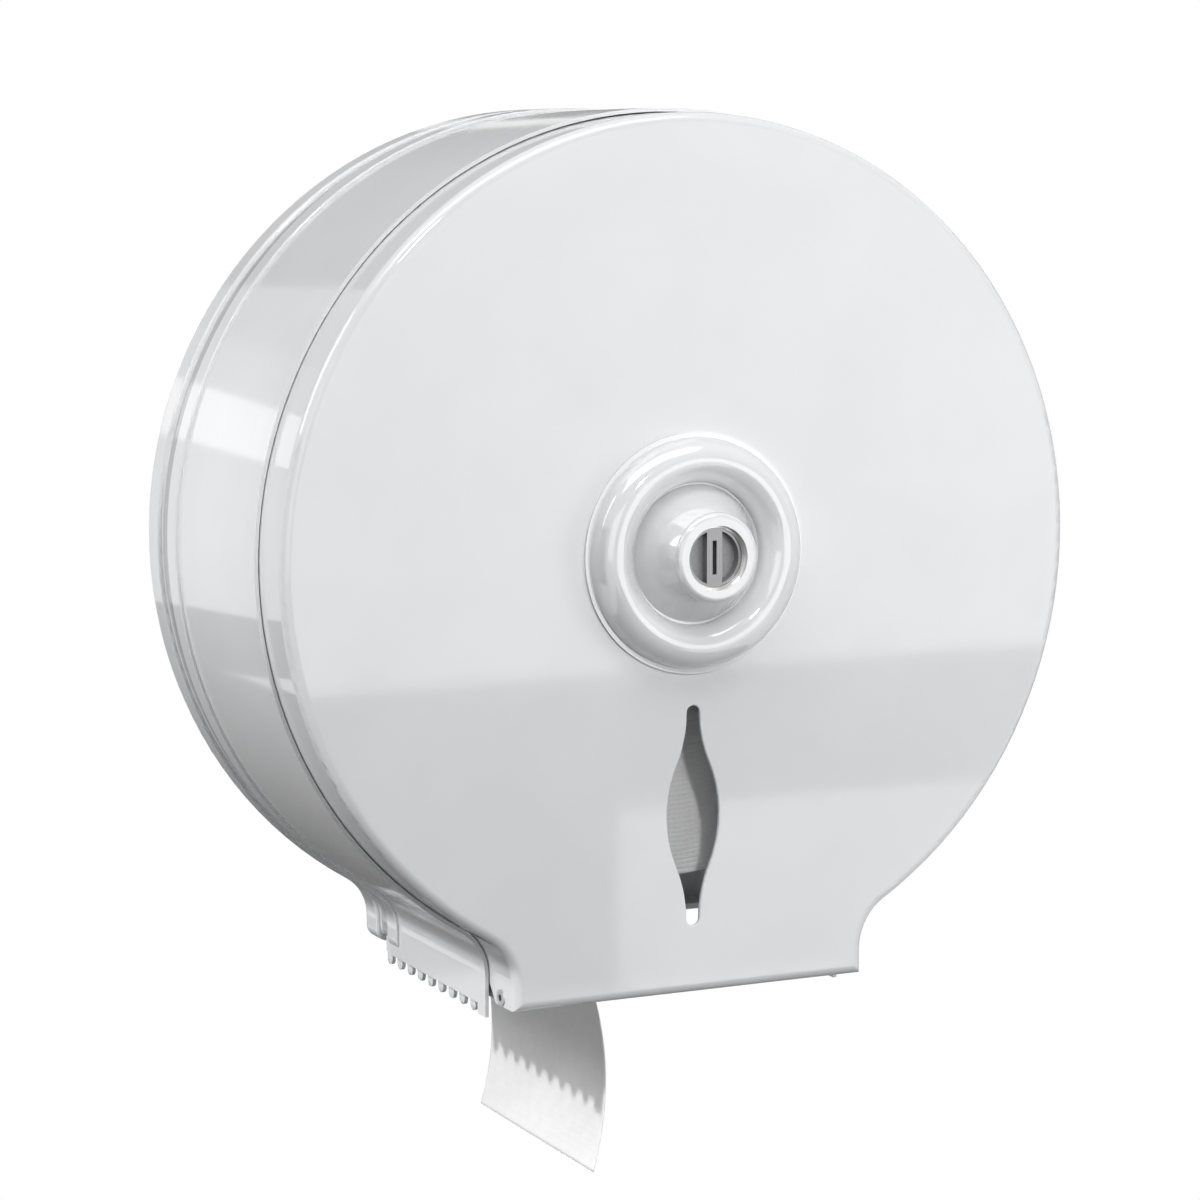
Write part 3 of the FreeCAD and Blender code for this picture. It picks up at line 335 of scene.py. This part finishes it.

# Paper roll: a long web of soft tissue wound on the core. The plies at its ends never line up quite
# evenly, and painted shadow between them shows the winding there as fine rings.

# tissue is creped across its length and embossed with a close pattern of small dots
CREPE_STRETCH = (0.25, 1.0, 1.0)
DOT_SCATTER = 0.12
DOT_SHARE = 0.7
TISSUE_CLOUDS = 210.0
tissue_skin, told, put = effect(
    "tissue skin", {"Dots per metre": 420.0, "Fibres per metre": 1500.0}, ("Height", "Cloud"))
tissue_skin.interface.new_socket("Place", in_out="INPUT", socket_type="NodeSocketVector")
place = tissue_skin.nodes["Group Input"].outputs["Place"]
dots = node(tissue_skin, "ShaderNodeTexVoronoi",
            {"Vector": place, "Scale": told["Dots per metre"], "Randomness": DOT_SCATTER})
dot = ramped(tissue_skin, dots.outputs["Distance"], low=0.16, high=0.42)
creped = node(tissue_skin, "ShaderNodeMapping", {"Vector": place, "Scale": CREPE_STRETCH}).outputs[0]
crepe = grain(tissue_skin, creped, told["Fibres per metre"], detail=4.0)
raised_dot = sums(tissue_skin, "MULTIPLY", dot, DOT_SHARE)
clouds = grain(tissue_skin, place, TISSUE_CLOUDS, detail=5.0)
tissue_skin.links.new(sums(tissue_skin, "ADD", raised_dot, crepe), put["Height"])
tissue_skin.links.new(ramped(tissue_skin, clouds, low=0.3, high=0.7), put["Cloud"])


def line_grain(tree, along, scale, detail=2.0):
    """Noise that changes along one measure only."""
    made = node(tree, "ShaderNodeTexNoise", {"W": along, "Scale": scale, "Detail": detail},
                noise_dimensions="1D")
    return made.outputs[0]


TISSUE_WHITE = (0.88, 0.88, 0.885, 1.0)
TISSUE_SHADE = (0.85, 0.85, 0.855, 1.0)
TISSUE_ROUGHNESS = 0.92
TISSUE_SHEEN = 0.15
PLY_SHADOW = (0.82, 0.82, 0.83, 1.0)
PLY_RINGS = 5200.0
PLY_DEPTH = 0.00005

roll_low, roll_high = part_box("paper_roll")
roll_axis = (roll_low + roll_high) / 2
roll_radius = (roll_high.x - roll_low.x) / 2
core_radius = (core_high.x - core_low.x) / 2
roll_width = roll_high.y - roll_low.y
WINDING = {"Turns": 44, "Steps": 96, "Slack": 0.00003, "Unevenness": 0.0002, "Seed": 3.0}
DRIFT_SCALE = 2.6
EDGE_FILLET_SHARE = 0.08
EDGE_FILLET_STEPS = 2

winding = bpy.data.node_groups.new("wound web", "GeometryNodeTree")
for label, kind in (("Inner radius", "Float"), ("Outer radius", "Float"), ("Width", "Float"),
                    ("Turns", "Int"), ("Steps", "Int"), ("Slack", "Float"), ("Unevenness", "Float"),
                    ("Seed", "Float"), ("Material", "Material")):
    winding.interface.new_socket(label, in_out="INPUT", socket_type="NodeSocket" + kind)
winding.interface.new_socket("Geometry", in_out="OUTPUT", socket_type="NodeSocketGeometry")
told = winding.nodes.new("NodeGroupInput").outputs
build_up = sums(winding, "SUBTRACT", told["Outer radius"], told["Inner radius"])
ply = sums(winding, "DIVIDE", build_up, told["Turns"])
half_ply = sums(winding, "DIVIDE", ply, 2.0)
spiral = node(winding, "GeometryNodeCurveSpiral", {
    "Resolution": told["Steps"], "Rotations": told["Turns"], "Height": 0.0,
    "Start Radius": sums(winding, "ADD", told["Inner radius"], half_ply),
    "End Radius": sums(winding, "SUBTRACT", told["Outer radius"], half_ply)})
run = node(winding, "GeometryNodeSplineParameter").outputs["Length"]
drift = line_grain(winding, sums(winding, "ADD", run, told["Seed"]), DRIFT_SCALE, detail=5.0)
shift = sums(winding, "MULTIPLY", sums(winding, "SUBTRACT", drift, 0.5), told["Unevenness"])
uneven = node(winding, "GeometryNodeSetPosition", {
    "Geometry": spiral.outputs[0], "Offset": node(winding, "ShaderNodeCombineXYZ", {2: shift}).outputs[0]})
level = node(winding, "GeometryNodeSetCurveNormal", {0: uneven.outputs[0]}, mode="Z_UP")
section = node(winding, "GeometryNodeCurvePrimitiveQuadrilateral", {
    "Width": sums(winding, "SUBTRACT", ply, told["Slack"]),
    "Height": sums(winding, "SUBTRACT", told["Width"], told["Unevenness"])})
fillet = sums(winding, "MULTIPLY", ply, EDGE_FILLET_SHARE)
soft_section = node(winding, "GeometryNodeFilletCurve", {
    0: section.outputs[0], "Radius": fillet, "Count": EDGE_FILLET_STEPS}, mode="POLY")
web = node(winding, "GeometryNodeCurveToMesh", {
    0: level.outputs[0], "Profile Curve": soft_section.outputs[0], "Fill Caps": True})
smooth = node(winding, "GeometryNodeSetShadeSmooth", {0: web.outputs[0]})
whole = node(winding, "GeometryNodeRealizeInstances", {0: smooth.outputs[0]})
dressed = node(winding, "GeometryNodeSetMaterial", {0: whole.outputs[0], "Material": told["Material"]})
winding.links.new(dressed.outputs[0], winding.nodes.new("NodeGroupOutput").inputs[0])

tissue_wound, tree, shader = new_finish("tissue_wound")
part = parts_from(tree, roll_axis)
squares = [sums(tree, "POWER", part[axis], 2.0) for axis in ("X", "Z")]
out = sums(tree, "SQRT", sums(tree, "ADD", *squares))
around_web = sums(tree, "MULTIPLY", sums(tree, "ARCTAN2", part["Z"], part["X"]), roll_radius)
unrolled = node(tree, "ShaderNodeCombineXYZ", {0: part["Y"], 1: around_web, 2: out}).outputs[0]
skin = node(tree, "ShaderNodeGroup", node_tree=tissue_skin)
tree.links.new(unrolled, skin.inputs["Place"])
# painted shadow between the plies darkens fine rings on the roll's ends
plies = line_grain(tree, out, PLY_RINGS)
flat_end = sums(tree, "ABSOLUTE", parts_of(tree, object_normal(tree))["Y"])
on_end = ramped(tree, flat_end, low=0.5, high=0.9)
ringed = sums(tree, "MULTIPLY", on_end, ramped(tree, plies, low=0.35, high=0.7))
colour = mixed(tree, ringed, mixed(tree, skin.outputs["Cloud"], TISSUE_WHITE, TISSUE_SHADE), PLY_SHADOW)
feed(tree, shader, Base_Color=colour, Roughness=TISSUE_ROUGHNESS, Sheen_Weight=TISSUE_SHEEN,
     Normal=bumped(tree, sums(tree, "ADD", skin.outputs["Height"], plies), PLY_DEPTH))


def grown(name, tree, inputs, body, turned):
    """The plain mesh that a Geometry Nodes tree makes, turned into place, as a piece on a body."""
    carrier = bpy.data.objects.new(name, bpy.data.meshes.new(name))
    bpy.context.scene.collection.objects.link(carrier)
    modifier = carrier.modifiers.new("tree", "NODES")
    modifier.node_group = tree
    for item in tree.interface.items_tree:
        if item.in_out == "INPUT":
            modifier[item.identifier] = inputs[item.name]
    shown = carrier.evaluated_get(bpy.context.evaluated_depsgraph_get())
    made = bpy.data.meshes.new_from_object(shown)
    carrier.modifiers.remove(modifier)
    made.transform(turned)
    carrier.data = made
    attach(carrier, body)
    return carrier


upright = Matrix.Translation(roll_axis) @ Matrix.Rotation(math.radians(90), 4, "X")
wound_roll = grown("wound_roll", winding, {
    "Inner radius": core_radius, "Outer radius": roll_radius, "Width": roll_width,
    "Material": tissue_wound, **WINDING}, "roll", upright)
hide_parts("paper_roll")

# Paper tail: the web's free end. It leaves the roll on a straight run, passes between the tear bars
# and curls to the left as it hangs, the way it lay on the roll.

TAIL_TURN = math.radians(41.7)
TAIL_STRAIGHT = 0.0391
TAIL_CURL = 0.100
TAIL_END_TURN = math.radians(16.9)
TAIL_GAP = 0.0006
TAIL_PLY = 0.00022
TAIL_DEPTH = 0.00002
TAIL_ROWS = 150
TAIL_COLUMNS = 90
RIPPLE = 0.0009
RIPPLES_ACROSS = 24.0
RIPPLES_ALONG = 17.0
RIPPLE_SEED = 4.0
FRAY = 0.0003
FRAYS_ACROSS = 900.0
tail_length = TAIL_STRAIGHT + TAIL_CURL * (TAIL_TURN + TAIL_END_TURN)
leaving = math.pi + TAIL_TURN
touch = roll_axis + (roll_radius + TAIL_GAP) * Vector((math.cos(leaving), 0.0, math.sin(leaving)))
downward = Vector((math.sin(TAIL_TURN), 0.0, -math.cos(TAIL_TURN)))
bend = touch + TAIL_STRAIGHT * downward
curl_centre = bend - TAIL_CURL * Vector((math.cos(TAIL_TURN), 0.0, math.sin(TAIL_TURN)))


def tail_point(run):
    """The tail's middle line and its left-hand normal, this far from the roll."""
    if run < TAIL_STRAIGHT:
        return touch + run * downward, Vector((-math.cos(TAIL_TURN), 0.0, -math.sin(TAIL_TURN)))
    turn = TAIL_TURN - (run - TAIL_STRAIGHT) / TAIL_CURL
    outward = Vector((math.cos(turn), 0.0, math.sin(turn)))
    return curl_centre + TAIL_CURL * outward, -outward


tail_verts, tail_uvs = [], []
for row in range(TAIL_ROWS + 1):
    for column in range(TAIL_COLUMNS + 1):
        across = roll_width * column / TAIL_COLUMNS
        run = tail_length * row / TAIL_ROWS
        if row == TAIL_ROWS:
            run += FRAY * noise.noise(Vector((across * FRAYS_ACROSS, 0.0, 0.0)))
        middle, left = tail_point(run)
        free = (run / tail_length) ** 2
        ripple = noise.noise(Vector((across * RIPPLES_ACROSS, run * RIPPLES_ALONG, RIPPLE_SEED)))
        place = middle + left * (RIPPLE * free * ripple)
        place.y = roll_low.y + across
        tail_verts.append(place)
        tail_uvs.append((across, run))
row_points = TAIL_COLUMNS + 1
tail_faces = []
for row in range(TAIL_ROWS):
    for column in range(TAIL_COLUMNS):
        first = row * row_points + column
        below = first + row_points
        tail_faces.append((first, first + 1, below + 1, below))
tail_mesh = bpy.data.meshes.new("hanging_tail")
tail_mesh.from_pydata(tail_verts, [], tail_faces)
web_map = tail_mesh.uv_layers.new(name="web")
for loop in tail_mesh.loops:
    web_map.data[loop.index].uv = tail_uvs[loop.vertex_index]
tail_mesh.shade_smooth()
hanging_tail = bpy.data.objects.new("hanging_tail", tail_mesh)
bpy.context.scene.collection.objects.link(hanging_tail)
thickness = hanging_tail.modifiers.new("ply", "SOLIDIFY")
thickness.thickness = TAIL_PLY
thickness.offset = 0.0

tissue_hung, tree, shader = new_finish("tissue_hung")
flat_place = node(tree, "ShaderNodeUVMap", uv_map="web").outputs[0]
skin = node(tree, "ShaderNodeGroup", node_tree=tissue_skin)
tree.links.new(flat_place, skin.inputs["Place"])
colour = mixed(tree, skin.outputs["Cloud"], TISSUE_WHITE, TISSUE_SHADE)
feed(tree, shader, Base_Color=colour, Roughness=TISSUE_ROUGHNESS, Sheen_Weight=TISSUE_SHEEN,
     Normal=bumped(tree, skin.outputs["Height"], TAIL_DEPTH))
tail_mesh.materials.append(tissue_hung)
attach(hanging_tail, "housing")
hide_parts("paper_tail")

# Keeper: a catch folded from zinc plated strip and screwed to the end of the post. The lock's cam
# goes in through its upright slot and turns behind the lips.

keeper_zinc = zinc_finish("keeper_zinc", clouds=120.0, lines=1800.0)
for piece in ("keeper_plate", "keeper_screw"):
    wear(piece, keeper_zinc)

# Front cover: a shallow dish pressed from one sheet, with a rolled edge, a flange that laps into the
# drum, and a leaf-shaped slot to see the paper through. Coated like the drum, but glossier.

wear("front_cover", coat_finish("cover_coat", dents=7.0, peel_share=0.025, dullest=0.075))

# Hinge rivets and washers: zinc plated hollow rivets through the cover's ears and the brackets, which
# the cover swings on, with a spacer washer behind each ear.

rivet_zinc = zinc_finish("rivet_zinc", clouds=400.0, lines=3000.0)
for piece in ("hinge_rivets", "hinge_washers"):
    wear(piece, rivet_zinc)

# Lock rosette: a die-cast boss, a bulged ring round a nose, coated white under a clear lacquer and
# clamped to the cover by the lock's nut.

ROSETTE_DEPTH = 0.00003
wear("lock_rosette", coat_finish("rosette_coat", dents=60.0, peel_share=0.06, dents_depth=ROSETTE_DEPTH,
                                 lacquer=1.0))

# Lock barrel, washer and nut: a turned, nickel plated housing that passes through rosette and cover.
# The washer and nut that clamp it from behind are zinc plated.

NICKEL = (0.60, 0.59, 0.57, 1.0)
NICKEL_DULL = (0.44, 0.435, 0.425, 1.0)
LATHE_LINES = 4200.0
LATHE_DEPTH = 0.00001
FINGER_SMEARS = 240.0
barrel_nickel, tree, shader = new_finish("barrel_nickel")
lathe = line_grain(tree, parts_of(tree, object_place(tree))["Y"], LATHE_LINES)
smear = ramped(tree, grain(tree, object_place(tree), FINGER_SMEARS, detail=3.0), low=0.35, high=0.7)
feed(tree, shader, Base_Color=mixed(tree, smear, NICKEL, NICKEL_DULL), Metallic=1.0,
     Roughness=spread(tree, smear, at_none=0.24, at_full=0.4),
     Normal=bumped(tree, lathe, LATHE_DEPTH))
wear("lock_barrel", barrel_nickel)
for piece in ("lock_washer", "lock_nut"):
    wear(piece, keeper_zinc)

# Lock plug, cam and screw: a cast plug whose upright bar is rubbed smooth and whose hollows are left
# rough from casting, with the cam screwed to its stem behind the cover.

CAST_ROUGH = (0.30, 0.30, 0.31, 1.0)
BAR_SMOOTH = (0.24, 0.24, 0.245, 1.0)
POCKET_DEPTH = 0.003
POCKET_START_SHARE = 0.15
POCKET_FLOOR_SHARE = 0.9
CAST_SPECKLE = 1800.0
CAST_DEPTH = 0.00002
plug_metal, tree, shader = new_finish("plug_metal")
plug_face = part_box("lock_plug")[0].y
inward = parts_of(tree, object_place(tree))["Y"]
sunk = ramped(tree, inward, plug_face + POCKET_START_SHARE * POCKET_DEPTH,
              plug_face + POCKET_FLOOR_SHARE * POCKET_DEPTH)
speckle = grain(tree, object_place(tree), CAST_SPECKLE, detail=3.0)
cast = sums(tree, "MULTIPLY", sunk, ramped(tree, speckle, low=0.2, high=0.55))
feed(tree, shader, Base_Color=mixed(tree, cast, BAR_SMOOTH, CAST_ROUGH), Metallic=1.0,
     Roughness=spread(tree, sunk, at_none=0.3, at_full=0.55),
     Normal=bumped(tree, speckle, CAST_DEPTH))
wear("lock_plug", plug_metal)
for piece in ("lock_cam", "cam_screw"):
    wear(piece, keeper_zinc)

# Floor and backdrop: one pale sweep, well below and behind the dispenser, which hangs as on a wall.
# It looks white from afar, and keeps its real shade under the dispenser, where the shadow falls.

FLOOR_LEVEL = -0.62
SWEEP_BACK = 2.4
SWEEP_FRONT = 3.4
SWEEP_HALF = 3.6
SWEEP_HIGH = 3.0
SWEEP_BEND = 0.8
SWEEP_STEPS = 24
SWEEP_ROUGHNESS = 0.9
SHADOW_NEAR = 0.4
SHADOW_FAR = 1.1
SHADOW_WHITE_SHARE = 0.45
PALE = (0.62, 0.62, 0.62, 1.0)
WHITE = (1.0, 1.0, 1.0, 1.0)
profile = [(-SWEEP_FRONT, FLOOR_LEVEL)]
for step in range(SWEEP_STEPS + 1):
    turn = math.pi / 2 * step / SWEEP_STEPS
    profile.append((SWEEP_BACK - SWEEP_BEND + SWEEP_BEND * math.sin(turn),
                    FLOOR_LEVEL + SWEEP_BEND - SWEEP_BEND * math.cos(turn)))
profile.append((SWEEP_BACK, FLOOR_LEVEL + SWEEP_HIGH))
sweep_verts = [(side * SWEEP_HALF, back, high) for back, high in profile for side in (-1, 1)]
sweep_faces = [(2 * row, 2 * row + 1, 2 * row + 3, 2 * row + 2) for row in range(len(profile) - 1)]
sweep_mesh = bpy.data.meshes.new("pale_sweep")
sweep_mesh.from_pydata(sweep_verts, [], sweep_faces)
sweep_mesh.shade_smooth()
sweep = bpy.data.objects.new("pale_sweep", sweep_mesh)
bpy.context.scene.collection.objects.link(sweep)


def white_to_eye(tree, plain, output, to_camera=1.0):
    """White in reflections and, by this share, to the camera. Otherwise the plain shader."""
    path = node(tree, "ShaderNodeLightPath").outputs
    seen = sums(tree, "MAXIMUM", sums(tree, "MULTIPLY", path["Is Camera Ray"], to_camera),
                sums(tree, "MAXIMUM", path["Is Glossy Ray"], path["Is Transmission Ray"]))
    kind = "ShaderNodeBackground" if output.type == "OUTPUT_WORLD" else "ShaderNodeEmission"
    white = node(tree, kind, {"Color": WHITE, "Strength": 1.0})
    both = node(tree, "ShaderNodeMixShader", {0: seen, 1: plain, 2: white.outputs[0]})
    tree.links.new(both.outputs[0], output.inputs["Surface"])


sweep_pale, tree, shader = new_finish("sweep_pale")
feed(tree, shader, Base_Color=PALE, Roughness=SWEEP_ROUGHNESS)
from_foot = node(tree, "ShaderNodeVectorMath", {0: object_place(tree), 1: (0.0, 0.0, FLOOR_LEVEL)},
                 operation="DISTANCE").outputs["Value"]
whiter = spread(tree, ramped(tree, from_foot, SHADOW_NEAR, SHADOW_FAR), SHADOW_WHITE_SHARE, 1.0)
white_to_eye(tree, shader.outputs[0], tree.nodes["Material Output"], whiter)
sweep_mesh.materials.append(sweep_pale)

AMBIENT = 0.06
world = bpy.data.worlds.new("studio")
world.use_nodes = True
bpy.context.scene.world = world
room = node(world.node_tree, "ShaderNodeBackground", {"Color": WHITE, "Strength": AMBIENT})
white_to_eye(world.node_tree, room.outputs[0], world.node_tree.nodes["World Output"])

# Lights: a spot high on the left draws the teeth on the paper, a weak one lifts the throat, and a small
# panel high ahead draws the slot on the roll. Wide panels light each side, and grey cards stand where
# the gloss would show plain white.

MIDDLE = Vector((0.0, -0.06, 0.0))
CEILING = 1.0


def aimed(place, target):
    """A placement at this point that looks at the target."""
    turned = (Vector(target) - Vector(place)).to_track_quat("-Z", "Y")
    return Matrix.Translation(place) @ turned.to_matrix().to_4x4()


def faced(place, facing):
    """The point that a panel or card here looks at."""
    x, y, z = place
    return {"middle": MIDDLE, "across": (x, 0.0, z), "up": (x, y, CEILING)}[facing]


def stand_lamp(name, lamp, place, target, mirrored=True):
    """Stands a lamp out of the camera's sight and, unless mirrored, out of the gloss too."""
    holder = bpy.data.objects.new(name, lamp)
    holder.matrix_world = aimed(place, target)
    holder.visible_camera = False
    holder.visible_glossy = mirrored
    bpy.context.scene.collection.objects.link(holder)


def spotlight(name, place, target, energy, cone, blend, softness):
    """A lamp with a round beam, its cone in degrees."""
    lamp = bpy.data.lights.new(name, "SPOT")
    lamp.energy = energy
    lamp.spot_size = math.radians(cone)
    lamp.spot_blend = blend
    lamp.shadow_soft_size = softness
    stand_lamp(name, lamp, place, target)


def panel(name, place, wide, high, radiance, facing="middle", mirrored=True):
    """A flat lamp, given by its brightness, where the floor's white is 1."""
    lamp = bpy.data.lights.new(name, "AREA")
    lamp.shape = "RECTANGLE"
    lamp.size = wide
    lamp.size_y = high
    lamp.energy = radiance * math.pi * wide * high
    stand_lamp(name, lamp, place, faced(place, facing), mirrored)


def card(name, place, wide, high, shade, facing="middle"):
    """A grey card for the gloss to show. The camera looks past it, and it throws no shadow."""
    corners = [(x * wide / 2, y * high / 2, 0.0) for x, y in ((-1, -1), (1, -1), (1, 1), (-1, 1))]
    mesh = bpy.data.meshes.new(name)
    mesh.from_pydata(corners, [], [(0, 1, 2, 3)])
    grey, tree, shader = new_finish(name)
    feed(tree, shader, Base_Color=(0.0, 0.0, 0.0, 1.0), Specular_IOR_Level=0.0,
         Emission_Color=(shade, shade, shade, 1.0), Emission_Strength=1.0)
    mesh.materials.append(grey)
    holder = bpy.data.objects.new(name, mesh)
    holder.matrix_world = aimed(place, faced(place, facing))
    holder.visible_camera = False
    holder.visible_shadow = False
    bpy.context.scene.collection.objects.link(holder)


spotlight("left_key", place=(-1.55, -0.06, 1.19), target=(-0.045, -0.06, -0.17),
          energy=88.0, cone=7.4, blend=0.7, softness=0.045)
spotlight("throat_fill", place=(-1.20, -0.06, -0.30), target=(-0.06, -0.06, -0.19),
          energy=8.0, cone=10.0, blend=1.0, softness=0.1)
panel("front_key", place=(-0.207, -1.71, 0.92), wide=0.16, high=0.16, radiance=140.0)
panel("right_panel", place=(0.90, -1.90, 0.01), wide=1.4, high=0.68, radiance=1.5, facing="across")
panel("right_strip", place=(0.62, -0.50, 0.02), wide=0.2, high=0.5, radiance=5.2, mirrored=False)
panel("low_panel", place=(1.18, -1.90, -0.536), wide=0.70, high=0.17, radiance=1.6, facing="across")
panel("top_panel", place=(-0.15, -0.62, 1.15), wide=1.5, high=0.6, radiance=3.4)
panel("eye_panel", place=(-0.75, -1.60, 0.20), wide=0.8, high=0.8, radiance=1.2)
panel("left_panel", place=(-1.55, 0.30, 0.95), wide=1.0, high=0.8, radiance=4.4)
panel("rear_strip", place=(-0.67, 1.90, 0.30), wide=0.7, high=0.21, radiance=0.9, facing="across")
panel("rear_panel", place=(1.60, 1.50, 0.0), wide=1.0, high=0.8, radiance=14.0, mirrored=False)
card("right_card", place=(0.90, -1.95, -0.482), wide=1.7, high=0.30, shade=0.25, facing="across")
card("side_card", place=(1.10, 0.52, -0.13), wide=1.36, high=1.2, shade=0.2)
card("left_card", place=(-1.35, -0.55, -0.10), wide=0.9, high=1.1, shade=0.12)
card("behind_card", place=(0.65, 2.00, -0.05), wide=1.2, high=1.1, shade=0.3, facing="across")
card("rear_card", place=(-1.0, 2.05, 1.16), wide=1.2, high=1.08, shade=0.85, facing="across")
card("top_card", place=(0.5, 2.05, 1.16), wide=1.8, high=1.08, shade=0.35, facing="across")
card("skirt_card", place=(-0.6, 1.75, -0.515), wide=1.0, high=0.21, shade=0.17, facing="across")
card("low_card", place=(0.05, 0.2, -0.56), wide=1.1, high=4.2, shade=0.17, facing="up")

# Camera: a long lens about a metre away, to the left of the dispenser and a little above it. Side and
# lift slide it without turning it, so that the dispenser sits in the frame as in the photograph.

VIEW_TURN = math.radians(-25.380)
VIEW_RISE = math.radians(7.143)
VIEW_ROLL = math.radians(-0.052)
VIEW_DISTANCE = 1.05778
VIEW_SIDE = -0.029041
VIEW_LIFT = -0.014498
LENS = 102.73
SENSOR = 36.0
face_middle = Vector((0.0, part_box("front_cover")[0].y, 0.0))
back = Vector((math.sin(VIEW_TURN) * math.cos(VIEW_RISE),
               -math.cos(VIEW_TURN) * math.cos(VIEW_RISE),
               math.sin(VIEW_RISE)))
right = Vector((math.cos(VIEW_TURN), math.sin(VIEW_TURN), 0.0))
up = back.cross(right)
rolled_right = math.cos(VIEW_ROLL) * right + math.sin(VIEW_ROLL) * up
rolled_up = math.cos(VIEW_ROLL) * up - math.sin(VIEW_ROLL) * right
lens = bpy.data.cameras.new("camera")
lens.sensor_width = SENSOR
lens.lens = LENS
camera = bpy.data.objects.new("camera", lens)
stand = Matrix((rolled_right, rolled_up, back)).transposed().to_4x4()
stand.translation = face_middle + VIEW_DISTANCE * back + VIEW_SIDE * right + VIEW_LIFT * up
camera.matrix_world = stand
bpy.context.scene.collection.objects.link(camera)
bpy.context.scene.camera = camera
bpy.context.scene.view_settings.view_transform = "Standard"
